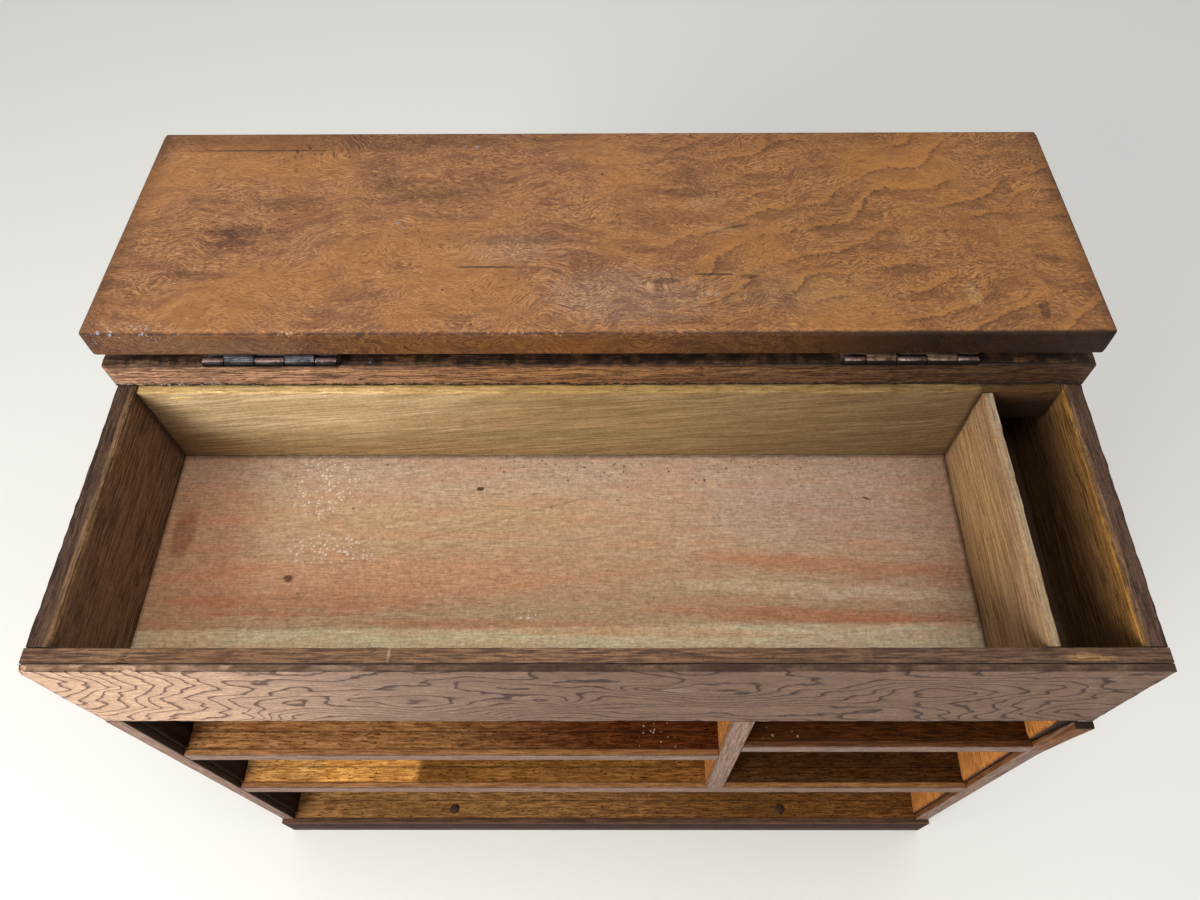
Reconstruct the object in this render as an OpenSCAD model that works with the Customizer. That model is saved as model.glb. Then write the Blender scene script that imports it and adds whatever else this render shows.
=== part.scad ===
// Wooden sewing box: a case with five drawer bays, a tray with a long slot beside it,
// a fixed rear top and a hinged lid. The lid is drawn folded right back, its rest pose.
// Origin: centre of the overall box on the ground. X to the right, Y to the back, Z up.

/* [Case] */
// Width of the case across its two sides
body_w = 290; // [255:1:340]
// Depth of the case from the front facing to the rear panel
body_d = 176.4; // [150:0.2:220]
// Height of the tray's rim above the ground
body_h = 228.8; // [220:0.2:270]
// Thickness of the side boards
side_t = 6.4; // [5:0.1:9]
// Thickness of the rear panel
back_t = 6; // [4:0.5:9]
// Depth of the grooves that hold the shelves and the tray floor
groove_d = 2; // [1:0.25:3]

/* [Front] */
// Thickness of the figured facing on the front
facing_t = 2.3; // [1.5:0.1:4]
// Width of the facing strips on the sides
strip_w = 5.4; // [4:0.1:6.4]
// Thickness of the board behind the tray's facing
front_t = 4.1; // [3:0.1:7]
// Height of the tray's front
front_h = 46.5; // [44:0.5:56]
// Depth of the rails along the front edges of the shelves
rail_d = 5.7; // [4:0.1:10]
// How far the loose top end of the right strip stands off
strip_lift = 2; // [0:0.1:4]
// Length of the loose stretch of the right strip
strip_loose = 43; // [20:1:80]

/* [Tray] */
// Depth of the tray floor below the rim
tray_in_h = 37.1; // [30:0.1:39]
// Thickness of the tray floor
tray_floor_t = 4.6; // [3:0.2:5]
// Thickness of the tray's rear wall
tray_back_t = 5.6; // [4:0.2:8]
// Thickness of the tray's divider
tray_divider_t = 3.8; // [3:0.1:6]
// Clear width of the long slot on the right
slot_w = 20.5; // [14:0.5:40]
// Height of the wall left above the slot's rear window
lintel_h = 14; // [8:0.5:20]

/* [Bays] */
// Clear height of the lowest bay, which runs the full width
low_bay_h = 61; // [50:0.5:70]
// Clear height of the left middle bay
left_mid_bay_h = 46.8; // [35:0.2:55]
// Clear height of the right middle bay
right_mid_bay_h = 58.4; // [40:0.2:65]
// Height of the lower shelf's front
low_shelf_h = 7.6; // [6:0.2:10]
// Height of the upper shelves' fronts
shelf_h = 6.2; // [5:0.2:8]
// Thickness of the panels behind the shelf rails
panel_t = 4.4; // [3:0.2:5]
// Thickness of the upright between the left and right bays
upright_t = 6.6; // [5:0.1:10]
// Place of the upright's middle, right of the case's middle
upright_x = 42.9; // [-60:0.5:70]

/* [Base] */
// Height of the plinth
plinth_h = 18.2; // [12:0.2:30]
// Thickness of the plinth's rails
plinth_t = 12; // [9:0.5:20]
// How far the plinth stands out in front of the facing
plinth_front = 1.8; // [0.5:0.1:2.2]
// How far the plinth stands out past the sides and the back
plinth_side = 0.3; // [0:0.1:1.5]
// Width of the plinth's lip round the bottom boards
plinth_lip = 2.4; // [2.3:0.1:4]
// Thickness of the bottom boards
bottom_t = 5; // [4:0.5:8]
// Diameter of the pegs through the bottom rail
rail_peg_d = 4; // [2:0.5:4.5]
// Length of the pegs through the bottom rail
rail_peg_l = 12; // [8:1:16]
// How far the rail pegs' heads stand up
rail_peg_up = 0.4; // [0:0.1:1]
// Place of the left rail peg, left of the middle
left_peg_x = 68; // [20:1:110]
// Place of the right rail peg, right of the middle
right_peg_x = 79; // [20:1:110]
// Diameter of the pegs in the rear panel
back_peg_d = 2.2; // [1.5:0.1:3]
// Length of the pegs in the rear panel
back_peg_l = 18; // [12:1:25]
// Number of pegs along each side of the rear panel
back_peg_n = 5; // [3:1:8]
// Distance of the outer rear pegs from the panel's ends
back_peg_end = 16; // [10:1:30]

/* [Lid] */
// Thickness of the lid
lid_t = 10; // [8:0.1:14]
// How far the closed lid stands out in front of the facing
lid_over = 1.8; // [0.5:0.1:4]
// How far the open lid's free edge stays inside the case's back
lid_short = 0.2; // [0:0.1:2]
// How far each end of the lid stays inside the case
lid_inset = 0.3; // [0:0.1:2]
// Radius of the lid's corners, seen from above
lid_corner_r = 1.6; // [0.5:0.1:5]
// Width of the tray's rear wall that shows in front of the rear top
rear_lap = 2; // [1:0.1:4]
// Gap between the closed lid and the rim under it
close_gap = 0.3; // [0.3:0.05:1]
// Gap each side of the hinge line between the closed lid and the rear top
joint_gap = 0.2; // [0.2:0.05:1]
// Gap between the open lid's free edge and the rear top
rest_gap = 0.3; // [0.3:0.05:1]

/* [Hinges] */
// Length of each hinge
hinge_l = 38.5; // [30:0.5:50]
// Distance of the left hinge from the case's left end
left_hinge_in = 31.6; // [10:0.2:60]
// Distance of the right hinge from the case's right end
right_hinge_in = 35.7; // [10:0.2:60]
// Width of each leaf from the pin's axis
leaf_w = 13; // [13:0.5:18]
// Thickness of the leaves
leaf_t = 1.2; // [0.9:0.1:1.4]
// Height of the pin's axis above the wood under the leaves
pin_h = 2.2; // [2:0.1:3]
// Outer radius of the knuckles
knuckle_r = 1.3; // [1.2:0.05:1.6]
// Length of the knuckles at the two ends
end_knuckle_l = 6.2; // [5:0.1:8]
// Gap between neighbouring knuckles
knuckle_gap = 0.3; // [0.2:0.05:0.6]
// Radius of the hinge pins
pin_r = 0.7; // [0.5:0.05:0.8]
// Clearance between the pin and its bores
pin_fit = 0.05; // [0.02:0.01:0.1]
// Length of each pin end outside the knuckles
pin_end = 0.4; // [0:0.1:1]
// Clearance between a knuckle and the other leaf's edge
knuckle_clear = 0.3; // [0.2:0.05:0.6]
// Radius of the screws' shanks
screw_r = 1.15; // [0.9:0.05:1.4]
// Radius of the screws' heads
screw_head_r = 2.2; // [1.9:0.1:2.6]
// Length of the screws
screw_l = 8.4; // [6:0.2:8.8]
// How far the screw heads stand above the leaves
screw_up = 0.2; // [0:0.05:0.4]
// Width of the slots in the screw heads
screw_slot = 0.6; // [0.4:0.1:0.8]
// Distance of the screws from the hinge's ends
screw_end = 7; // [5:0.5:10]
// Distance of the nearer screw from the pin's axis
screw_near = 6.5; // [5.5:0.1:7.5]
// Distance of the farther screw from the pin's axis
screw_far = 9.8; // [8:0.1:10.5]

/* [Hidden] */
$fn = 64;
// Small overshoot of a cut past the face that it opens
cut = 1;
// Clearance round pegs and screws in their holes
peg_fit = 0.05;

in_w = body_w - 2 * side_t;
in_x = in_w / 2;
tray_y = facing_t + front_t;
back_y = body_d - back_t;
// The lid covers the tray when closed and the rear top when open, so the pin is midway
pin_y = (body_d - lid_short - lid_over) / 2;
reach = pin_y + lid_over;
lid_d = reach - joint_gap;
rear_y = pin_y + joint_gap;
wall_y = rear_y - rear_lap;
front_z = body_h - front_h;
floor_z = body_h - tray_in_h;
under_floor_z = floor_z - tray_floor_t;
slot_x = in_x - slot_w;
rail_y = facing_t + rail_d;

low_shelf_z = plinth_h + low_bay_h;
low_shelf_top = low_shelf_z + low_shelf_h;
left_shelf_z = low_shelf_top + left_mid_bay_h;
right_shelf_z = low_shelf_top + right_mid_bay_h;
upright_left = upright_x - upright_t / 2;
upright_right = upright_x + upright_t / 2;

plinth_x = body_w / 2 + plinth_side;
bottom_x = plinth_x - plinth_lip;
bottom_y = plinth_lip - plinth_front;
plinth_back_y = body_d + plinth_side;
bottom_back_y = plinth_back_y - plinth_lip;
rail_peg_y = (rail_y + bottom_y) / 2;
back_peg_x = (body_w - side_t) / 2;

rear_top_t = lid_t + close_gap;
top_z = body_h + rear_top_t;
pin_z = top_z + pin_h;
knuckle_l = (hinge_l - 2 * end_knuckle_l) / 3;
left_hinge_x = -body_w / 2 + left_hinge_in;
right_hinge_x = body_w / 2 - right_hinge_in - hinge_l;

// Angle past 180 degrees at which the open lid's free edge reaches the rear top
lid_lean = atan2(pin_h, reach) + asin((pin_h - rest_gap) / norm([reach, pin_h]));

// The overall box runs from the foremost point at the front to the rearmost at the back
front_reach = max(plinth_front, strip_lift);
lid_reach_y = pin_y + reach * cos(lid_lean) - pin_h * sin(lid_lean);
lid_reach_top_y = lid_reach_y - lid_t * sin(lid_lean);
rear_reach = max(plinth_back_y, lid_reach_y, lid_reach_top_y);
front_y = (front_reach - rear_reach) / 2;

// Start of knuckle i along the hinge, from 0 to 4, and the hinge's end as 5
function knuckle_x(i) = i == 0 ? 0 : i == 5 ? hinge_l : end_knuckle_l + (i - 1) * knuckle_l;
// Lift of the loose strip at a share s of its loose stretch
function lift(s) = strip_lift * pow(s, 1.3);

module on_case() {
    translate([0, front_y, 0])
        children();
}

// Children are drawn from the pin's axis with the lid closed
module on_lid() {
    on_case()
        translate([0, pin_y, pin_z])
            rotate([-180 - lid_lean, 0, 0])
                children();
}

// A board between two corners
module board(low, high) {
    translate(low)
        cube(high - low);
}

// Holes for the rear pegs in one side, along Y
module back_peg_row(r, from_y, to_y) {
    step = (body_h - plinth_h - 2 * back_peg_end) / (back_peg_n - 1);
    for (i = [0 : back_peg_n - 1])
        translate([back_peg_x, from_y, plinth_h + back_peg_end + i * step])
            rotate([-90, 0, 0])
                cylinder(r = r, h = to_y - from_y);
}

// Groove for a shelf's rail and panel, from x0 to x1
module shelf_groove(x0, x1, z, h) {
    board([x0, facing_t - cut, z], [x1, rail_y, z + h]);
    board([x0, rail_y - cut, z + h - panel_t], [x1, back_y + cut, z + h]);
}

// A side board on the right of the case, with a shelf at shelf_z
module side_board(shelf_z) {
    difference() {
        union() {
            board([in_x, facing_t, plinth_h], [body_w / 2, back_y, front_z]);
            board([in_x, tray_y, plinth_h], [body_w / 2, back_y, body_h]);
        }
        board([in_x - cut, tray_y - cut, under_floor_z], [in_x + groove_d, back_y + cut, floor_z]);
        shelf_groove(in_x - cut, in_x + groove_d, shelf_z, shelf_h);
        shelf_groove(in_x - cut, in_x + groove_d, low_shelf_z, low_shelf_h);
        back_peg_row(back_peg_d / 2 + peg_fit, body_d - back_peg_l - peg_fit, body_d);
    }
}

module left_side() {
    color("#6b4a30")
        on_case()
            mirror([1, 0, 0])
                side_board(left_shelf_z);
}

module right_side() {
    color("#6b4a30")
        on_case()
            side_board(right_shelf_z);
}

module back_panel() {
    color("#7a5536")
        on_case()
            difference() {
                board([-body_w / 2, back_y, plinth_h], [body_w / 2, body_d, body_h]);
                for (side = [0, 1])
                    mirror([side, 0, 0])
                        back_peg_row(back_peg_d / 2 + peg_fit, back_y - cut, body_d + cut);
            }
}

module back_pegs() {
    color("#a98a5c")
        on_case()
            for (side = [0, 1])
                mirror([side, 0, 0])
                    back_peg_row(back_peg_d / 2, body_d - back_peg_l, body_d);
}

module tray_front_board() {
    color("#75543b")
        on_case()
            board([-body_w / 2, facing_t, front_z], [body_w / 2, tray_y, body_h]);
}

module tray_facing() {
    color("#a5846a")
        on_case()
            board([-body_w / 2, 0, front_z], [body_w / 2, facing_t, body_h]);
}

module tray_back_wall() {
    color("#9a8455")
        on_case()
            difference() {
                board([-in_x, wall_y, floor_z], [in_x, wall_y + tray_back_t, body_h]);
                board([slot_x, wall_y - cut, floor_z - cut],
                      [in_x + cut, wall_y + tray_back_t + cut, body_h - lintel_h]);
            }
}

module tray_floor() {
    color("#b98f70")
        on_case()
            board([-in_x - groove_d, tray_y, under_floor_z], [in_x + groove_d, back_y, floor_z]);
}

module tray_divider() {
    color("#b39a78")
        on_case()
            board([slot_x - tray_divider_t, tray_y, floor_z], [slot_x, wall_y, body_h]);
}

module slot_rear_partition() {
    color("#b39a78")
        on_case()
            board([slot_x - tray_divider_t, wall_y + tray_back_t, floor_z], [slot_x, back_y, body_h]);
}

module rear_top_board() {
    color("#7b5331")
        on_case()
            difference() {
                board([-body_w / 2, rear_y, body_h], [body_w / 2, body_d, top_z]);
                translate([0, pin_y, pin_z])
                    screw_holes();
            }
}

module bay_upright() {
    color("#8a5f33")
        on_case()
            difference() {
                union() {
                    board([upright_left, facing_t, low_shelf_top], [upright_right, back_y, front_z]);
                    board([upright_left, tray_y, low_shelf_top], [upright_right, back_y, under_floor_z]);
                }
                shelf_groove(upright_left - cut, upright_left + groove_d, left_shelf_z, shelf_h);
                shelf_groove(upright_right - groove_d, upright_right + cut, right_shelf_z, shelf_h);
            }
}

module upright_strip() {
    color("#8f7767")
        on_case()
            board([upright_left, 0, low_shelf_top], [upright_right, facing_t, front_z]);
}

// Front rail of a shelf
module shelf_rail(x0, x1, z, h) {
    color("#9a6f3a")
        on_case()
            board([x0, facing_t, z], [x1, rail_y, z + h]);
}

// Panel behind a shelf's rail, flush with its top
module shelf_panel(x0, x1, z, h) {
    color("#a87c42")
        on_case()
            board([x0, rail_y, z + h - panel_t], [x1, back_y, z + h]);
}

// Facing strip on a shelf's front
module shelf_strip(x0, x1, z, h) {
    color("#9c8473")
        on_case()
            board([x0, 0, z], [x1, facing_t, z + h]);
}

module left_shelf_rail() {
    shelf_rail(-in_x - groove_d, upright_left + groove_d, left_shelf_z, shelf_h);
}

module left_shelf_panel() {
    shelf_panel(-in_x - groove_d, upright_left + groove_d, left_shelf_z, shelf_h);
}

module left_shelf_strip() {
    shelf_strip(-body_w / 2 + strip_w, upright_left, left_shelf_z, shelf_h);
}

module right_shelf_rail() {
    shelf_rail(upright_right - groove_d, in_x + groove_d, right_shelf_z, shelf_h);
}

module right_shelf_panel() {
    shelf_panel(upright_right - groove_d, in_x + groove_d, right_shelf_z, shelf_h);
}

module right_shelf_strip() {
    shelf_strip(upright_right, body_w / 2 - strip_w, right_shelf_z, shelf_h);
}

module lower_shelf_rail() {
    shelf_rail(-in_x - groove_d, in_x + groove_d, low_shelf_z, low_shelf_h);
}

module lower_shelf_panel() {
    shelf_panel(-in_x - groove_d, in_x + groove_d, low_shelf_z, low_shelf_h);
}

module lower_shelf_strip() {
    shelf_strip(-body_w / 2 + strip_w, body_w / 2 - strip_w, low_shelf_z, low_shelf_h);
}

module left_side_strip() {
    color("#a08a7a")
        on_case()
            board([-body_w / 2, 0, plinth_h], [-body_w / 2 + strip_w, facing_t, front_z]);
}

// The right strip, whose top end has come away and curves forwards
module right_side_strip() {
    steps = 10;
    loose_z = front_z - strip_loose;
    outer = [for (i = [0 : steps]) [-lift(i / steps), loose_z + strip_loose * i / steps]];
    inner = [for (i = [steps : -1 : 0]) [facing_t - lift(i / steps), loose_z + strip_loose * i / steps]];
    color("#8f7f76")
        on_case()
            translate([body_w / 2 - strip_w, 0, 0])
                rotate([90, 0, 90])
                    linear_extrude(strip_w)
                        polygon(concat([[0, plinth_h]], outer, inner, [[facing_t, plinth_h]]));
}

// Holes or pegs through the bottom rail into the plinth
module rail_peg_pair(r, up) {
    for (x = [-left_peg_x, right_peg_x])
        translate([x, rail_peg_y, plinth_h - rail_peg_l])
            cylinder(r = r, h = rail_peg_l + up);
}

module bottom_rail() {
    color("#9d7136")
        on_case()
            difference() {
                board([-bottom_x, bottom_y, plinth_h - bottom_t], [bottom_x, rail_y, plinth_h]);
                rail_peg_pair(rail_peg_d / 2 + peg_fit, cut);
            }
}

module bottom_panel() {
    color("#a87c42")
        on_case()
            board([-bottom_x, rail_y, plinth_h - bottom_t], [bottom_x, bottom_back_y, plinth_h]);
}

module rail_pegs() {
    color("#2c1a14")
        on_case()
            rail_peg_pair(rail_peg_d / 2, rail_peg_up);
}

// Space for the bottom boards inside the plinth's lip
module bottom_pocket() {
    board([-bottom_x, bottom_y, plinth_h - bottom_t], [bottom_x, bottom_back_y, plinth_h + cut]);
}

module plinth_front_board() {
    color("#4c3a33")
        on_case()
            difference() {
                board([-plinth_x, -plinth_front, 0], [plinth_x, plinth_t - plinth_front, plinth_h]);
                bottom_pocket();
                translate([0, 0, -peg_fit])
                    rail_peg_pair(rail_peg_d / 2 + peg_fit, cut);
            }
}

module plinth_rear_board() {
    color("#4c3a33")
        on_case()
            difference() {
                board([-plinth_x, plinth_back_y - plinth_t, 0], [plinth_x, plinth_back_y, plinth_h]);
                bottom_pocket();
            }
}

module plinth_end_board() {
    color("#4c3a33")
        on_case()
            difference() {
                board([plinth_x - plinth_t, plinth_t - plinth_front, 0],
                      [plinth_x, plinth_back_y - plinth_t, plinth_h]);
                bottom_pocket();
            }
}

module plinth_left_board() {
    mirror([1, 0, 0])
        plinth_end_board();
}

module plinth_right_board() {
    plinth_end_board();
}

// The lid's outline, seen from above, with round corners
module lid_outline() {
    x = body_w / 2 - lid_inset;
    translate([-x + lid_corner_r, -reach])
        square([2 * (x - lid_corner_r), lid_d]);
    translate([-x, -reach + lid_corner_r])
        square([2 * x, lid_d - 2 * lid_corner_r]);
    for (sx = [-1, 1], y = [-reach + lid_corner_r, -joint_gap - lid_corner_r])
        translate([sx * (x - lid_corner_r), y])
            circle(lid_corner_r);
}

module lid_board() {
    color("#a5622c")
        on_lid()
            difference() {
                translate([0, 0, -pin_h - lid_t])
                    linear_extrude(lid_t)
                        lid_outline();
                mirror([0, 1, 0])
                    screw_holes();
            }
}

// One leaf on the side of +Y, with its knuckles; x = 0 is the hinge's left end
module hinge_leaf(own) {
    notch = knuckle_r + knuckle_clear;
    difference() {
        union() {
            for (i = own) {
                x0 = knuckle_x(i) + (i == 0 ? 0 : knuckle_gap / 2);
                x1 = knuckle_x(i + 1) - (i == 4 ? 0 : knuckle_gap / 2);
                translate([x0, 0, 0])
                    rotate([0, 90, 0])
                        cylinder(r = knuckle_r, h = x1 - x0);
                board([x0, 0, -pin_h], [x1, leaf_t, 0]);
                board([x0, 0, -pin_h], [x1, notch, leaf_t - pin_h]);
            }
            board([0, notch, -pin_h], [hinge_l, leaf_w, leaf_t - pin_h]);
        }
        translate([-cut, 0, 0])
            rotate([0, 90, 0])
                cylinder(r = pin_r + pin_fit, h = hinge_l + 2 * cut);
        at_screws()
            countersink();
    }
}

// Children at the two screws of one leaf on the side of +Y, on the wood's face
module at_screws() {
    translate([screw_end, screw_near, -pin_h])
        children();
    translate([hinge_l - screw_end, screw_far, -pin_h])
        children();
}

// Hole through a leaf with a seat for the screw's head
module countersink() {
    translate([0, 0, -cut])
        cylinder(r = screw_r + peg_fit, h = leaf_t + 2 * cut);
    rotate_extrude()
        polygon([[0, 0], [screw_r + peg_fit, 0], [screw_head_r + peg_fit, leaf_t],
                 [screw_head_r + peg_fit, leaf_t + cut], [0, leaf_t + cut]]);
}

// A slotted countersunk screw with its head in the leaf
module screw() {
    deep = leaf_t - screw_l;
    difference() {
        rotate_extrude()
            polygon([[0, deep], [screw_r, deep + 2 * screw_r], [screw_r, 0], [screw_head_r, leaf_t],
                     [screw_head_r, leaf_t + screw_up / 2], [screw_head_r - screw_up, leaf_t + screw_up],
                     [0, leaf_t + screw_up]]);
        translate([-screw_head_r - cut, -screw_slot / 2, leaf_t + screw_up - screw_slot])
            cube([2 * (screw_head_r + cut), screw_slot, screw_slot + cut]);
    }
}

// Children at both hinges, each from its left end on the pin's axis
module at_hinges() {
    for (x = [left_hinge_x, right_hinge_x])
        translate([x, 0, 0])
            children();
}

// Pilot holes in the wood on the side of +Y for both hinges
module screw_holes() {
    at_hinges()
        at_screws()
            translate([0, 0, leaf_t - screw_l - peg_fit])
                cylinder(r = screw_r + peg_fit, h = screw_l + cut);
}

module case_leaf(x) {
    color("#6f5f58")
        on_case()
            translate([x, pin_y, pin_z])
                hinge_leaf([0, 2, 4]);
}

module lid_leaf(x) {
    color("#6f5f58")
        on_lid()
            translate([x, 0, 0])
                mirror([0, 1, 0])
                    hinge_leaf([1, 3]);
}

module hinge_pin(x) {
    color("#8c7a66")
        on_case()
            translate([x - pin_end, pin_y, pin_z])
                rotate([0, 90, 0])
                    cylinder(r = pin_r, h = hinge_l + 2 * pin_end);
}

module left_hinge_case_leaf() {
    case_leaf(left_hinge_x);
}

module left_hinge_lid_leaf() {
    lid_leaf(left_hinge_x);
}

module left_hinge_pin() {
    hinge_pin(left_hinge_x);
}

module right_hinge_case_leaf() {
    case_leaf(right_hinge_x);
}

module right_hinge_lid_leaf() {
    lid_leaf(right_hinge_x);
}

module right_hinge_pin() {
    hinge_pin(right_hinge_x);
}

module hinge_case_screws() {
    color("#7d6f66")
        on_case()
            translate([0, pin_y, pin_z])
                at_hinges()
                    at_screws()
                        screw();
}

module hinge_lid_screws() {
    color("#7d6f66")
        on_lid()
            mirror([0, 1, 0])
                at_hinges()
                    at_screws()
                        screw();
}

left_side();
right_side();
back_panel();
back_pegs();
tray_front_board();
tray_facing();
tray_back_wall();
tray_floor();
tray_divider();
slot_rear_partition();
rear_top_board();
bay_upright();
upright_strip();
left_shelf_rail();
left_shelf_panel();
left_shelf_strip();
right_shelf_rail();
right_shelf_panel();
right_shelf_strip();
lower_shelf_rail();
lower_shelf_panel();
lower_shelf_strip();
left_side_strip();
right_side_strip();
bottom_rail();
bottom_panel();
rail_pegs();
plinth_front_board();
plinth_rear_board();
plinth_left_board();
plinth_right_board();
lid_board();
left_hinge_case_leaf();
left_hinge_lid_leaf();
left_hinge_pin();
right_hinge_case_leaf();
right_hinge_lid_leaf();
right_hinge_pin();
hinge_case_screws();
hinge_lid_screws();
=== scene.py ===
"""Looks of a wooden sewing box with empty drawer bays, an open tray and a lid folded right back."""
import logging
import math
from dataclasses import dataclass, field, replace
from enum import Enum
from functools import cache

import bpy
from mathutils import Matrix, Vector


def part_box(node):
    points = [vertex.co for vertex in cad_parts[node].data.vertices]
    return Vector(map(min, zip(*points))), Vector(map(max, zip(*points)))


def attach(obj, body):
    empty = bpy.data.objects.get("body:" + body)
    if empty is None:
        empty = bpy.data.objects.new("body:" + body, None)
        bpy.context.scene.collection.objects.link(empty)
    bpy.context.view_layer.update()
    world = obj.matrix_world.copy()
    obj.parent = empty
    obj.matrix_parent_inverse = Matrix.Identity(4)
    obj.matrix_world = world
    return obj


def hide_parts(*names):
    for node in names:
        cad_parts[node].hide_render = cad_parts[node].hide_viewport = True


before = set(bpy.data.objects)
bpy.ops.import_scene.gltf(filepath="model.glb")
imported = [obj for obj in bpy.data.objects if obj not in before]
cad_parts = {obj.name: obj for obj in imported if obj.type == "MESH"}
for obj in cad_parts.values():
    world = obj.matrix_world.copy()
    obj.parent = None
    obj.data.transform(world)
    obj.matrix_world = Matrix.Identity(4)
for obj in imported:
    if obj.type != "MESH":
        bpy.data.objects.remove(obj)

LOG = logging.getLogger("sewing_box")
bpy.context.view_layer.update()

# One millimetre in metres.
MM = 0.001
# Half size in mm of an area that reaches past every board.
WIDE = 400.0
# The angle from which an edge counts as an arris.
SHARP = math.radians(40)
# The mean of a noise, taken away where it has to swing about zero.
MEAN = 0.5
# The share of full display value below which the display curve is straight.
STRAIGHT_END = 0.04045

Colour = tuple[float, float, float, float]
Triple = tuple[float, float, float]


class Grain(Enum):
    """The axis that a board's grain runs along, with the order that brings it first."""

    X = (0, 1, 2)
    Y = (1, 0, 2)
    Z = (2, 0, 1)


def tint(red: float, green: float, blue: float) -> Colour:
    """Turns display values of 0 to 255 into the linear colour that a shader takes.

    Args:
        red: Display value of red.
        green: Display value of green.
        blue: Display value of blue.

    Returns:
        The linear colour, opaque.
    """
    shares = (display / 255 for display in (red, green, blue))
    return (*(s / 12.92 if s <= STRAIGHT_END else ((s + 0.055) / 1.055) ** 2.4 for s in shares), 1.0)


def corners(node: str) -> tuple[Vector, Vector]:
    """Gives a CAD node's low and high corners in mm."""
    low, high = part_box(node)
    return low / MM, high / MM


class Signal:
    """An output socket of a node. Sums and products of signals add the nodes that reckon them."""

    def __init__(self, bench: "Bench", socket: bpy.types.NodeSocket) -> None:
        """Takes the socket.

        Args:
            bench: The bench of the socket's tree.
            socket: The output socket.
        """
        self.bench = bench
        self.socket = socket

    @property
    def broad(self) -> bool:
        """Tells whether it carries a vector or a colour."""
        return self.socket.type in ("VECTOR", "RGBA")

    def __add__(self, other: object) -> "Signal":
        """Adds another signal, number or vector."""
        return self.bench.work("ADD", self, other)

    def __sub__(self, other: object) -> "Signal":
        """Takes another signal, number or vector away."""
        return self.bench.work("SUBTRACT", self, other)

    def __mul__(self, other: object) -> "Signal":
        """Multiplies by another signal, number or vector."""
        return self.bench.work("MULTIPLY", self, other)

    def __truediv__(self, other: object) -> "Signal":
        """Divides by another signal, number or vector."""
        return self.bench.work("DIVIDE", self, other)


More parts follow.
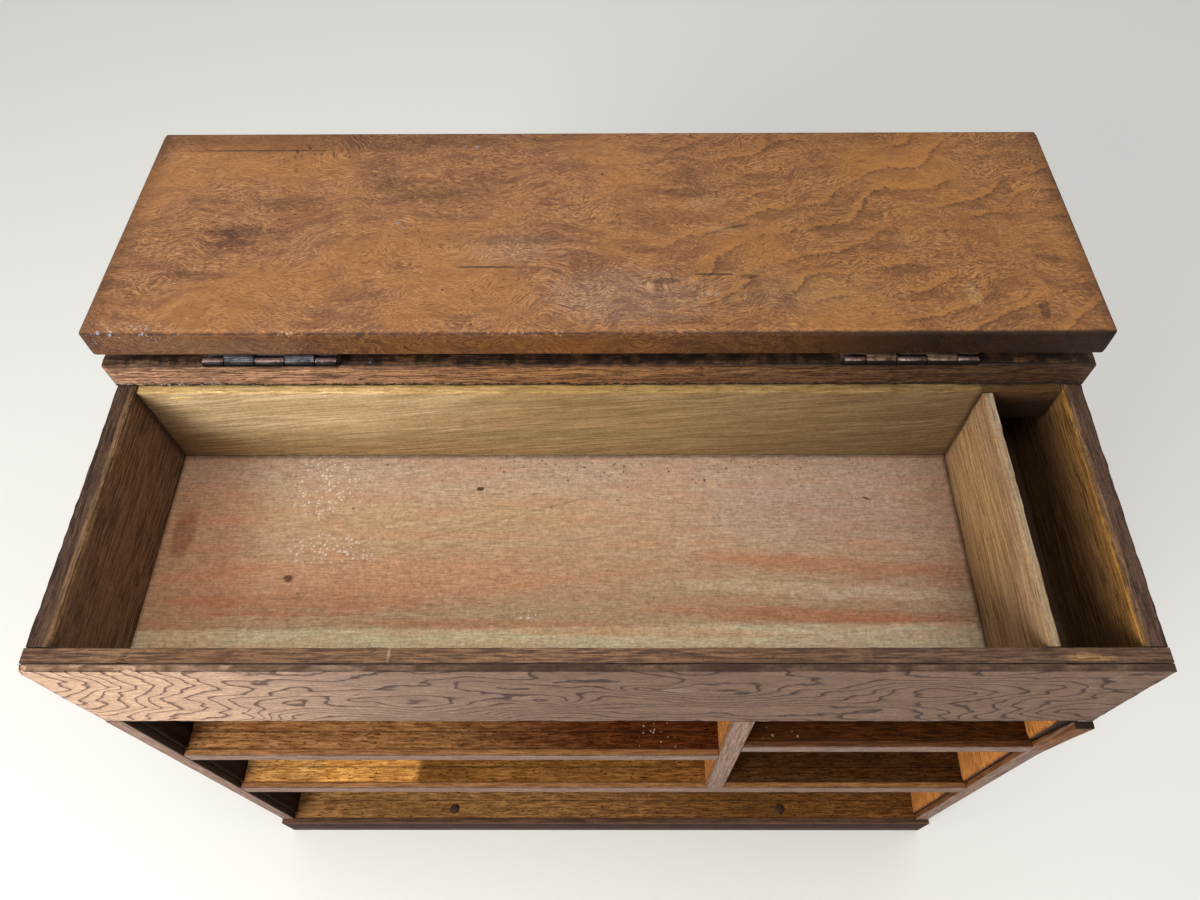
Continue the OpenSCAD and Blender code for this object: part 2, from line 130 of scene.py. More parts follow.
class Bench:
    """Adds nodes to one node tree and wires them."""

    def __init__(self, tree: bpy.types.NodeTree) -> None:
        """Takes the tree to work on.

        Args:
            tree: Node tree of a material, world or group.
        """
        self.tree = tree

    def add(self, kind: str, **settings: object) -> bpy.types.Node:
        """Adds a node.

        Args:
            kind: The node's type.
            settings: Properties to set on it.

        Returns:
            The new node.
        """
        node = self.tree.nodes.new(kind)
        for key, value in settings.items():
            setattr(node, key, value)
        return node

    def put(self, value: object, socket: bpy.types.NodeSocket) -> None:
        """Links a signal to an input, or sets the input's own value.

        Args:
            value: A signal, a number, a vector or a colour.
            socket: The input to feed.
        """
        if isinstance(value, Signal):
            self.tree.links.new(value.socket, socket)
        else:
            socket.default_value = value

    def work(self, operation: str, *values: object) -> Signal:
        """Adds a Math node, or a Vector Math node where the first value is a vector or a colour.

        Args:
            operation: Name of the operation.
            values: Its inputs, in order.

        Returns:
            The result.
        """
        if not (isinstance(values[0], Signal) and values[0].broad):
            node = self.add("ShaderNodeMath", operation=operation)
            places = node.inputs
        elif operation == "MULTIPLY" and not self._is_broad(values[1]):
            node = self.add("ShaderNodeVectorMath", operation="SCALE")
            places = (node.inputs[0], node.inputs["Scale"])
        else:
            node = self.add("ShaderNodeVectorMath", operation=operation)
            places = node.inputs
        for value, place in zip(values, places):
            self.put(value, place)
        return Signal(self, node.outputs["Value" if operation == "LENGTH" else 0])

    @staticmethod
    def _is_broad(value: object) -> bool:
        """Tells whether a value is a vector or a colour."""
        return value.broad if isinstance(value, Signal) else not isinstance(value, (int, float))

    def place(self) -> Signal:
        """Gives the object coordinates in mm."""
        return Signal(self, self.add("ShaderNodeTexCoord").outputs["Object"]) * (1 / MM)

    def turn(self, vector: Signal, axis: str, angle: object) -> Signal:
        """Turns a vector about an axis.

        Args:
            vector: The vector.
            axis: X or Z.
            angle: The angle in radians.

        Returns:
            The turned vector.
        """
        node = self.add("ShaderNodeVectorRotate", rotation_type=f"{axis}_AXIS")
        self.put(vector, node.inputs["Vector"])
        self.put(angle, node.inputs["Angle"])
        return Signal(self, node.outputs[0])

    def split(self, vector: Signal) -> list[Signal]:
        """Gives a vector's X, Y and Z.

        Args:
            vector: The vector.

        Returns:
            Its three parts.
        """
        node = self.add("ShaderNodeSeparateXYZ")
        self.put(vector, node.inputs[0])
        return [Signal(self, socket) for socket in node.outputs]

    def join(self, *parts: object) -> Signal:
        """Makes a vector of three parts.

        Args:
            parts: X, Y and Z.

        Returns:
            The vector.
        """
        node = self.add("ShaderNodeCombineXYZ")
        for value, socket in zip(parts, node.inputs):
            self.put(value, socket)
        return Signal(self, node.outputs[0])

    def noise(self, vector: Signal, scale: object = 1.0, detail: float = 2.0, rough: float = 0.5,
              colour: bool = False) -> Signal:
        """Adds a Noise Texture.

        Args:
            vector: Where it is read.
            scale: Its scale.
            detail: Number of octaves.
            rough: Strength of the finer octaves.
            colour: Whether the colour is wanted, in place of the value.

        Returns:
            The noise, from 0 to 1 and 0.5 on average.
        """
        node = self.add("ShaderNodeTexNoise")
        values = {"Vector": vector, "Scale": scale, "Detail": detail, "Roughness": rough}
        for name, value in values.items():
            self.put(value, node.inputs[name])
        return Signal(self, node.outputs["Color" if colour else "Fac"])

    def stir(self, vector: Signal, scale: float, reach: float, detail: float, rough: float) -> Signal:
        """Moves coordinates by a noise in all three directions.

        Args:
            vector: The coordinates.
            scale: Scale of the noise.
            reach: Full range of the movement.
            detail: Number of octaves.
            rough: Strength of the finer octaves.

        Returns:
            The moved coordinates.
        """
        return vector + (self.noise(vector, scale, detail, rough, colour=True) - (MEAN,) * 3) * reach

    def step(self, value: object, low: object, high: object) -> Signal:
        """Rises smoothly from 0 at low to 1 at high, or falls where low is the greater.

        Args:
            value: The value to read.
            low: Where the result is 0.
            high: Where the result is 1.

        Returns:
            The smooth step.
        """
        node = self.add("ShaderNodeMapRange", interpolation_type="SMOOTHSTEP")
        for part, socket in zip((value, low, high), node.inputs):
            self.put(part, socket)
        return Signal(self, node.outputs[0])

    def blend(self, share: object, base: object, over: object, mode: str = "MIX") -> Signal:
        """Mixes two colours.

        Args:
            share: How much of the second colour shows.
            base: The first colour.
            over: The second colour.
            mode: Blend mode.

        Returns:
            The mixed colour.
        """
        factor, first, second, mixed = 0, 6, 7, 2
        node = self.add("ShaderNodeMix", data_type="RGBA", blend_type=mode)
        self.put(share, node.inputs[factor])
        self.put(base, node.inputs[first])
        self.put(over, node.inputs[second])
        return Signal(self, node.outputs[mixed])

    def use(self, tree: bpy.types.NodeTree, **values: object) -> dict[str, Signal]:
        """Adds a node group.

        Args:
            tree: The group's tree.
            values: Its inputs by name.

        Returns:
            Its outputs by name.
        """
        node = self.add("ShaderNodeGroup", node_tree=tree)
        for name, value in values.items():
            self.put(value, node.inputs[name])
        return {socket.name: Signal(self, socket) for socket in node.outputs}

    def surface(self, values: dict[str, object], height: Signal, strength: float, depth: float) -> None:
        """Ends a material with its shader and a bump.

        Args:
            values: The shader's inputs by name.
            height: Height of the bump.
            strength: Strength of the bump.
            depth: Depth of the bump in mm.
        """
        shader = self.add("ShaderNodeBsdfPrincipled")
        for name, value in values.items():
            self.put(value, shader.inputs[name])
        bump = self.add("ShaderNodeBump")
        self.put(strength, bump.inputs["Strength"])
        self.put(depth * MM, bump.inputs["Distance"])
        self.put(height, bump.inputs["Height"])
        self.put(Signal(self, bump.outputs[0]), shader.inputs["Normal"])
        out = self.add("ShaderNodeOutputMaterial")
        self.put(Signal(self, shader.outputs[0]), out.inputs["Surface"])


class Effects:
    """The shader groups that the finishes share. Each is built once, when first asked for."""

    @staticmethod
    def _open(name: str, vectors: tuple[str, ...], numbers: tuple[str, ...],
              outputs: tuple[str, ...] = ("Mask",)) -> tuple[Bench, dict[str, Signal], bpy.types.Node]:
        """Starts a group.

        Args:
            name: The group's name.
            vectors: Names of its vector inputs.
            numbers: Names of its number inputs.
            outputs: Names of the values that it gives.

        Returns:
            Its bench, its inputs by name and its output node.
        """
        tree = bpy.data.node_groups.new(name, "ShaderNodeTree")
        sockets = [(socket, "INPUT", "NodeSocketVector") for socket in vectors]
        sockets += [(socket, "INPUT", "NodeSocketFloat") for socket in numbers]
        sockets += [(socket, "OUTPUT", "NodeSocketFloat") for socket in outputs]
        for socket, side, kind in sockets:
            tree.interface.new_socket(name=socket, in_out=side, socket_type=kind)
        bench = Bench(tree)
        source = bench.add("NodeGroupInput")
        given = {socket: Signal(bench, source.outputs[socket]) for socket in vectors + numbers}
        return bench, given, bench.add("NodeGroupOutput")

    @staticmethod
    @cache
    def fibre() -> bpy.types.NodeTree:
        """Gives the grain group: streaks, hair lines, pores and clouds along the vector's X, in mm.

        Returns:
            The group's tree.
        """
        bench, given, out = Effects._open("wood_fibre", ("Place",), ("Length", "Width", "Waver"),
                                          ("Streak", "Hair", "Pore", "Cloud"))
        sway = (bench.noise(given["Place"], 0.013, 3.0) - MEAN) * given["Waver"]
        x, y, z = bench.split(given["Place"])
        place = bench.join(x / given["Length"], (y + sway) / given["Width"], (z + sway) / given["Width"])
        pores = bench.noise(place * (3.4, 1.9, 1.9), detail=1.0)
        bench.put(bench.noise(place, detail=4.0, rough=0.62), out.inputs["Streak"])
        bench.put(bench.noise(place * (2.3, 3.3, 3.3), detail=3.0, rough=0.7), out.inputs["Hair"])
        bench.put(bench.step(pores, 0.6, 0.72), out.inputs["Pore"])
        bench.put(bench.noise(place * (0.16, 0.09, 0.09), detail=3.0, rough=0.55), out.inputs["Cloud"])
        return bench.tree

    @staticmethod
    @cache
    def arris() -> bpy.types.NodeTree:
        """Gives the edge group: 1 on the edges of a box between two corners, in mm.

        Returns:
            The group's tree.
        """
        bench, given, out = Effects._open("worn_arris", ("Place", "Low", "High"), ("Width", "Rag"))
        near = bench.work("MINIMUM", given["Place"] - given["Low"], given["High"] - given["Place"])
        x, y, z = bench.split(bench.work("ABSOLUTE", near))
        inner = bench.work("MINIMUM", bench.work("MAXIMUM", x, y), z)
        second = bench.work("MAXIMUM", bench.work("MINIMUM", x, y), inner)
        rough = bench.noise(given["Place"], 0.35, 4.0, 0.7) - MEAN
        bench.put(bench.step(rough * given["Rag"] + second, given["Width"], 0.0), out.inputs["Mask"])
        return bench.tree

    @staticmethod
    @cache
    def specks() -> bpy.types.NodeTree:
        """Gives the speck group: small round spots in a share of the cells.

        Returns:
            The group's tree.
        """
        bench, given, out = Effects._open("small_specks", ("Place",), ("Cell", "Spot", "Share"))
        cells = bench.add("ShaderNodeTexVoronoi")
        jitter = bench.noise(given["Place"], 1.3, 2.0, colour=True) * 0.6
        bench.put(given["Place"] + jitter, cells.inputs["Vector"])
        bench.put(bench.work("DIVIDE", 1.0, given["Cell"]), cells.inputs["Scale"])
        lot, growth, _ = bench.split(Signal(bench, cells.outputs["Color"]))
        chosen = bench.work("LESS_THAN", lot, given["Share"])
        size = given["Spot"] / given["Cell"] * (growth + 0.4)
        spot = bench.step(Signal(bench, cells.outputs["Distance"]), size, size * 0.5)
        bench.put(spot * chosen, out.inputs["Mask"])
        return bench.tree

    @staticmethod
    @cache
    def patch() -> bpy.types.NodeTree:
        """Gives the patch group: a soft round or square area with a ragged edge, in mm.

        Returns:
            The group's tree.
        """
        bench, given, out = Effects._open("soft_patch", ("Place", "Middle", "Half"),
                                          ("Round", "Soft", "Rag", "Grit", "Turn"))
        half = given["Half"]
        offset = bench.turn(given["Place"] - given["Middle"], "Z", given["Turn"] * math.radians(-1))
        x, y, z = bench.split(bench.work("ABSOLUTE", offset) - half)
        square = bench.work("MAXIMUM", x, bench.work("MAXIMUM", y, z))
        wide, long, high = bench.split(half)
        greater = bench.work("MINIMUM", bench.work("MAXIMUM", wide, long), high)
        second = bench.work("MAXIMUM", bench.work("MINIMUM", wide, long), greater)
        ellipse = (bench.work("LENGTH", offset / half) - 1.0) * second
        rough = bench.noise(given["Place"], given["Grit"], 4.0, 0.65) - MEAN
        edge = rough * given["Rag"] + square + given["Round"] * (ellipse - square)
        bench.put(bench.step(edge, given["Soft"], given["Soft"] * -1.0), out.inputs["Mask"])
        return bench.tree


@dataclass(frozen=True)
class Box:
    """A box between two corners, in mm of the frame."""

    low: Triple
    high: Triple


@dataclass(frozen=True)
class Patch:
    """A stain, rubbed place or differently coloured area of a board, in mm of the frame.

    The grain stays in it, unless it is flat. Its fade is where along an axis it starts and is full.
    """

    middle: Triple
    half: Triple
    colour: Colour
    strength: float = 1.0
    soft: float = 3.0
    rag: float = 4.0
    grit: float = 0.12
    round: float = 1.0
    turn: float = 0.0
    fade: tuple[float, float] | None = None
    fade_axis: int = 0
    flat: bool = False


def band(middle: Triple, half: Triple, colour: Colour, strength: float = 1.0, **values: object) -> Patch:
    """Makes a patch with square corners, such as a strip or a whole face.

    Args:
        middle: Its middle in mm.
        half: Its half sizes in mm.
        colour: Its colour.
        strength: How much of it shows.
        values: Other values of the patch.

    Returns:
        The patch.
    """
    return Patch(middle, half, colour, strength, round=0.0, **values)


def wash(middle: Triple, half: Triple, colour: Colour, strength: float, fade: tuple[float, float]) -> Patch:
    """Makes a square patch that grows along X.

    Args:
        middle: Its middle in mm.
        half: Its half sizes in mm.
        colour: Its colour.
        strength: How much of it shows.
        fade: Where it starts and where it is full.

    Returns:
        The patch.
    """
    return band(middle, half, colour, strength, soft=1.0, fade=fade)


@dataclass(frozen=True)
class Dots:
    """Specks within one area of a board, in mm of the frame."""

    middle: Triple
    half: Triple
    colour: Colour
    cell: float = 2.5
    spot: float = 0.35
    share: float = 0.4
    strength: float = 0.8
    soft: float = 4.0


@dataclass(frozen=True)
class Ring:
    """A knot or oval in a figured facing: its middle and half sizes along X and Z, in mm, and its height."""

    x: float
    z: float
    half_x: float
    half_z: float
    rise: float


@dataclass(frozen=True)
class Timber:
    """One wood finish. Its lengths are in mm."""

    name: str
    pale: Colour
    dark: Colour
    grain: Grain = Grain.X
    length: float = 22.0
    width: float = 0.9
    waver: float = 5.0
    contrast: float = 1.8
    hair: float = 0.35
    pore: float = 0.5
    pore_colour: Colour = tint(38, 22, 14)
    cloud: float = 0.5
    cloud_colour: Colour = tint(90, 58, 36)
    fuzz: float = 1.0
    slant: float = 0.0
    gloss: float = 0.2
    roughness: float = 0.66
    bump: float = 0.3
    arris: float = 0.5
    arris_width: float = 0.9
    arris_colour: Colour = tint(58, 38, 28)
    # Darkening along the edges of this box, in a tray's inner corners: painted contact shade together with
    # the dark joints.
    corner: Box | None = None
    corner_width: float = 2.5
    corner_strength: float = 0.6
    corner_colour: Colour = tint(52, 34, 22)
    patches: tuple[Patch, ...] = ()
    dots: tuple[Dots, ...] = ()
    leaning: bool = False


class Lean:
    """The folded lid's own frame: Z is 0 on its upper face and Y is 0 along its near upper edge."""

    ANGLE = math.radians(2.639)
    THICK = 10.0

    @classmethod
    def edge(cls) -> Vector:
        """Gives a point of the near upper edge, in mm of the frame."""
        low, high = corners("lid_board")
        return Vector((0, low.y + cls.THICK * math.sin(cls.ANGLE), high.z))

    @classmethod
    def board(cls) -> tuple[Vector, Vector]:
        """Gives the corners of the lid board in its own frame, in mm.

        Returns:
            The low and the high corner.
        """
        low, high = corners("lid_board")
        run = high.y - low.y - cls.THICK * math.sin(cls.ANGLE)
        return Vector((low.x, 0, -cls.THICK)), Vector((high.x, run / math.cos(cls.ANGLE), 0))

    @classmethod
    def matrix(cls) -> Matrix:
        """Gives the turn from the lid's own frame to the frame, in metres."""
        return Matrix.Translation(cls.edge() * MM) @ Matrix.Rotation(-cls.ANGLE, 4, "X")


class TimberFinish:
    """Builds the material of one wood finish for one node."""

    def __init__(self, timber: Timber) -> None:
        """Takes the finish.

        Args:
            timber: The wood finish to build.
        """
        self.timber = timber
        self.material = bpy.data.materials.new(timber.name)
        self.material.use_nodes = True
        self.material.node_tree.nodes.clear()
        self.bench = Bench(self.material.node_tree)
        self.place = self.bench.place()
        if timber.leaning:
            self.place = self.bench.turn(self.place - Lean.edge(), "X", Lean.ANGLE)

    def grain(self, place: Signal | None = None) -> tuple[Signal, Signal]:
        """Lays the grain.

        Args:
            place: Coordinates in mm that it follows, or the object's own where left out.

        Returns:
            The colour and the height for the bump.
        """
        bench, timber = self.bench, self.timber
        fibre = bench.use(Effects.fibre(), Place=self.along(place or self.place), Length=timber.length,
                          Width=timber.width, Waver=timber.waver)
        # The more contrast, the fewer streaks are between dark and pale.
        reach = 0.28 / timber.contrast
        streak = bench.step(fibre["Streak"], MEAN - reach, MEAN + reach)
        hair = bench.step(fibre["Hair"], 0.52, 0.34) * timber.hair
        cloud = bench.step(fibre["Cloud"], 0.55, 0.35) * timber.cloud
        pore = fibre["Pore"] * timber.pore
        colour = bench.blend(streak, timber.dark, timber.pale)
        colour = bench.blend(hair, colour, timber.dark)
        colour = bench.blend(cloud, colour, timber.cloud_colour)
        colour = bench.blend(pore, colour, timber.pore_colour)
        fuzz = bench.noise(self.place, 0.9, 4.0, 0.8) - MEAN
        return colour * (fuzz * timber.fuzz + 1.0), streak * 0.6 - pore - hair * 0.5

    def along(self, place: Signal) -> Signal:
        """Brings the grain's axis first, so that the fibres run along it.

        Args:
            place: Coordinates in mm.

        Returns:
            The reordered coordinates.
        """
        parts = self.bench.split(place)
        if self.timber.slant:
            parts[2] = parts[2] - parts[0] * self.timber.slant
        return self.bench.join(*(parts[i] for i in self.timber.grain.value))

    def dress(self, colour: Signal, node: str) -> Signal:
        """Adds patches, darker inner corners with painted contact shade and dark joints, the worn arrises and
        dots.

        Args:
            colour: The wood's own colour.
            node: The CAD node whose box has the arrises.

        Returns:
            The dressed colour.
        """
        timber = self.timber
        for patch in timber.patches:
            colour = self._patched(colour, patch)
        # The tray's inner corners get painted contact shade, together with the dark joints.
        if timber.corner:
            colour = self._edged(colour, (timber.corner.low, timber.corner.high), timber.corner_width,
                                 timber.corner_strength, timber.corner_colour)
        if timber.arris:
            box = Lean.board() if timber.leaning else corners(node)
            colour = self._edged(colour, box, timber.arris_width, timber.arris, timber.arris_colour)
        for dots in timber.dots:
            colour = self._dotted(colour, dots)
        return colour

    def _patched(self, colour: Signal, patch: Patch) -> Signal:
        """Adds a patch.

        Args:
            colour: The colour so far.
            patch: The patch.

        Returns:
            The new colour.
        """
        bench = self.bench
        area = bench.use(Effects.patch(), Place=self.place, Middle=patch.middle, Half=patch.half,
                         Round=patch.round, Soft=patch.soft, Rag=patch.rag, Grit=patch.grit, Turn=patch.turn)
        share = area["Mask"] * patch.strength
        if patch.fade:
            share = share * bench.step(bench.split(self.place)[patch.fade_axis], *patch.fade)
        if patch.flat:
            return bench.blend(share, colour, patch.colour)
        # The factor turns the mean colour of the wood into the patch's own, so that the grain stays.
        mean = [(a + b) / 2 for a, b in zip(self.timber.pale, self.timber.dark)]
        ratio = (*(patch.colour[i] / mean[i] for i in range(3)), 1.0)
        return bench.blend(share, colour, ratio, "MULTIPLY")

    def _dotted(self, colour: Signal, dots: Dots) -> Signal:
        """Adds specks.

        Args:
            colour: The colour so far.
            dots: The specks.

        Returns:
            The new colour.
        """
        spots = self.bench.use(Effects.specks(), Place=self.place, Cell=dots.cell, Spot=dots.spot,
                               Share=dots.share)
        area = self.bench.use(Effects.patch(), Place=self.place, Middle=dots.middle, Half=dots.half,
                              Round=1.0, Soft=dots.soft, Rag=dots.soft, Grit=0.1, Turn=0.0)
        return self.bench.blend(spots["Mask"] * area["Mask"] * dots.strength, colour, dots.colour)

    def _edged(self, colour: Signal, box: tuple, width: float, strength: float, tone: Colour) -> Signal:
        """Colours the edges of a box.

        Args:
            colour: The colour so far.
            box: The box's low and high corners in mm.
            width: Width of the coloured edge in mm.
            strength: How much of it shows.
            tone: Its colour.

        Returns:
            The new colour.
        """
        edges = self.bench.use(Effects.arris(), Place=self.place, Low=box[0], High=box[1], Width=width,
                               Rag=width * 1.6)
        return self.bench.blend(edges["Mask"] * strength, colour, tone)

    def close(self, colour: Signal, height: Signal) -> bpy.types.Material:
        """Ends the material with its shader.

        Args:
            colour: The finished colour.
            height: The height for the bump.

        Returns:
            The material.
        """
        timber = self.timber
        mottle = (self.bench.noise(self.place, 0.09, 3.0) - MEAN) * 0.3
        rough = self.bench.work("MINIMUM", mottle + timber.roughness - height * 0.08, 1.0)
        values = {"Base Color": colour, "Roughness": rough, "Specular IOR Level": timber.gloss}
        self.bench.surface(values, height, timber.bump, 0.4)
        return self.material

    def build(self, node: str) -> bpy.types.Material:
        """Builds the whole material.

        Args:
            node: The CAD node whose arrises are worn.

        Returns:
            The material.
        """
        colour, height = self.grain()
        return self.close(self.dress(colour, node), height)


@dataclass(frozen=True)
class FiguredFinish:
    """A facing whose dark growth lines follow hills and hollows, like a map's contours."""

    timber: Timber
    rings: tuple[Ring, ...]
    line_colour: Colour
    front: float
    gap: float = 2.0
    slope: float = 0.34
    wander: float = 10.0

    def build(self, node: str) -> bpy.types.Material:
        """Builds the material.

        Args:
            node: The CAD node that carries it.

        Returns:
            The material.
        """
        finish = TimberFinish(self.timber)
        bench = finish.bench
        # Only the front face has the lines. From one line to the next the phase runs from 0 to 1.
        face = bench.step(bench.split(finish.place)[1], self.front + 0.7, self.front + 0.3)
        phase = bench.work("FRACT", self._heights(bench, finish.place) / self.gap)
        faint = bench.step(bench.noise(finish.place * (0.05, 0.05, 0.2)), 0.08, 0.36)
        line = bench.step(phase, 0.73, 0.89) * bench.step(phase, 1.0, 0.96) * faint * face
        shade = bench.step(phase, 0.3, 0.95) * face
        colour, height = finish.grain()
        colour = bench.blend(shade * 0.55, colour, self.timber.dark)
        colour = bench.blend(line * 0.9, colour, self.line_colour)
        return finish.close(finish.dress(colour, node), height - line * 0.5)

    def _heights(self, bench: Bench, place: Signal) -> Signal:
        """Gives the map's heights: a slope with broad and small hills and the rings on it.

        Args:
            bench: The material's bench.
            place: The object coordinates in mm.

        Returns:
            The heights.
        """
        x, _, z = bench.split(place)
        broad = bench.noise(place * (0.018, 0.018, 0.045)) - MEAN
        small = bench.noise(place * (0.09, 0.09, 0.16), detail=3.0, rough=0.6) - MEAN
        heights = z * self.slope + broad * (self.wander * 2) + small * (self.wander * 0.25)
        for ring in self.rings:
            u = (x - ring.x) / ring.half_x
            v = (z - ring.z) / ring.half_z
            heights = heights + bench.work("EXPONENT", (u * u + v * v) * -1.0) * ring.rise
        return heights


@dataclass(frozen=True)
class BurlFinish:
    """The lid's finish: short curling fibres over clouds of gold and brown, with darker folds."""

    timber: Timber
    fold_colour: Colour
    gold: Colour
    fleck_colour: Colour = tint(214, 160, 100)
    curl: float = 28.0
    fold_gap: float = 10.0
    bend: float = 34.0
    fray: float = 5.0
    right_start: float = 20.0
    right_full: float = 80.0

    def build(self, node: str) -> bpy.types.Material:
        """Builds the material.

        Args:
            node: The CAD node that carries it.

        Returns:
            The material.
        """
        finish = TimberFinish(self.timber)
        bench = finish.bench
        curled = bench.stir(finish.place, 0.035, self.curl, 2.2, 0.5)
        colour, height = finish.grain(curled)
        mellow = bench.step(bench.noise(finish.place, 0.022, 3.0, 0.55), 0.45, 0.62)
        colour = bench.blend(mellow * 0.45, colour, self.gold)
        fibre = bench.noise(finish.along(curled) * (0.33, 1.9, 1.9))
        crowd = bench.noise(finish.place, 0.045, 3.0, 0.6)
        dark = bench.step(fibre, 0.42, 0.3) * bench.step(crowd, 0.42, 0.66)
        light = bench.step(fibre, 0.6, 0.72) * bench.step(crowd, 0.62, 0.4)
        colour = bench.blend(dark * 0.85, colour, self.fold_colour)
        colour = bench.blend(light * 0.55, colour, self.fleck_colour)
        colour = self._fold(bench, finish.place, curled, colour)
        return finish.close(finish.dress(colour, node), height - dark * 0.8)

    def _fold(self, bench: Bench, place: Signal, curled: Signal, colour: Signal) -> Signal:
        """Adds the dark wandering folds with a golden crest beside each, strongest on the right.

        Args:
            bench: The material's bench.
            place: The lid's own coordinates in mm.
            curled: The curled coordinates.
            colour: The colour so far.

        Returns:
            The new colour.
        """
        # The folds lie slanting, in broad bends with frayed edges. Across each the phase runs from 0 to 1.
        broad = bench.noise(place, 0.026, colour=True) - (MEAN,) * 3
        fine = bench.noise(place, 0.45, 3.0, 0.65, colour=True) - (MEAN,) * 3
        x, y, _ = bench.split(place + broad * self.bend + fine * self.fray)
        phase = bench.work("FRACT", (y * 0.88 - x * 0.42) / self.fold_gap)
        # They are full on the right, faint on the left, and fail in places.
        side = bench.split(place)[0] + bench.noise(place, 0.03) * 60.0
        right = bench.step(side, self.right_start, self.right_full) * 0.75 + 0.2
        reach = right * bench.step(bench.noise(place + (0.0, 300.0, 0.0), 0.035), 0.42, 0.58)
        dashes = bench.step(bench.noise(curled * (0.5, 0.9, 0.9)), 0.4, 0.56)
        shade = bench.step(phase, 0.5, 0.97) * bench.step(phase, 1.0, 0.97) * reach
        crest = bench.step(phase, 0.35, 0.08) * bench.step(phase, 0.0, 0.06) * reach
        line = bench.step(phase, 0.84, 0.97) * bench.step(phase, 1.0, 0.98) * dashes * reach
        colour = bench.blend(shade * 0.42, colour, self.timber.dark)
        colour = bench.blend(crest * 0.6, colour, self.gold)
        return bench.blend(line * 0.66, colour, self.fold_colour)


@dataclass(frozen=True)
class MetalFinish:
    """Old hinge metal: tarnished and rubbed in places, with painted shade on the near lower half of the
    knuckles, low down in the slit.
    """

    name: str
    bright: Colour
    tarnish: Colour
    roughness: float = 0.65
    metallic: float = 0.75
    # Colour of the painted shade on the knuckles.
    knuckle_shade: Colour = tint(20, 17, 16)

    def build(self) -> bpy.types.Material:
        """Builds the material.

        Returns:
            The material.
        """
        material = bpy.data.materials.new(self.name)
        material.use_nodes = True
        material.node_tree.nodes.clear()
        bench = Bench(material.node_tree)
        place = bench.place()
        patchy = bench.noise(place, 0.35, 4.0, 0.65)
        fine = bench.noise(place * (0.8, 5.0, 5.0), detail=3.0, rough=0.6)
        rubbed = bench.step(patchy + fine * 0.3, 0.52, 0.78)
        # The near lower half of the knuckles gets painted shade, measured from the pin's middle.
        low, high = corners("left_hinge_pin")
        _, y, z = bench.split(place - (low + high) / 2)
        knuckle_shade_mask = bench.step(patchy * 0.5 + (y * 0.85 + z * 0.53), 0.5, 0.1)
        colour = bench.blend(knuckle_shade_mask, bench.blend(rubbed, self.tarnish, self.bright), self.knuckle_shade)
        values = {"Base Color": colour, "Metallic": self.metallic,
                  "Roughness": rubbed * -0.25 + self.roughness}
        bench.surface(values, fine, 0.2, 0.1)
        return material


def paint(node: str, material: bpy.types.Material) -> None:
    """Gives a CAD node its material.

    Args:
        node: The node's name.
        material: Its material.
    """
    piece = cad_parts[node]
    if not piece.material_slots:
        piece.data.materials.append(material)
    for slot in piece.material_slots:
        slot.material = material


def bevel(piece: bpy.types.Object, radius: float, segments: int) -> bpy.types.Modifier:
    """Adds a modifier that rounds the sharp arrises.

    Args:
        piece: The object.
        radius: Radius of the arrises in mm.
        segments: Number of faces across each arris.

    Returns:
        The modifier.
    """
    rounding = piece.modifiers.new("arris", "BEVEL")
    rounding.width = radius * MM
    rounding.segments = segments
    rounding.limit_method = "ANGLE"
    rounding.angle_limit = SHARP
    return rounding


def soften(node: str, radius: float, segments: int = 3) -> None:
    """Joins a CAD node's loose triangles and rounds its arrises, with modifiers.

    Args:
        node: The node's name.
        radius: Radius of the arrises in mm.
        segments: Number of faces across each arris.
    """
    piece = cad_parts[node]
    weld = piece.modifiers.new("weld", "WELD")
    weld.merge_threshold = 0.002 * MM
    flat = piece.modifiers.new("flat", "DECIMATE")
    flat.decimate_type = "DISSOLVE"
    flat.angle_limit = math.radians(1.5)
    bevel(piece, radius, segments).harden_normals = True
    for face in piece.data.polygons:
        face.use_smooth = True


@dataclass(frozen=True)
class Bite:
    """A chip out of a board: its middle and its half sizes, in mm of the board's frame."""

    middle: Triple
    radii: Triple


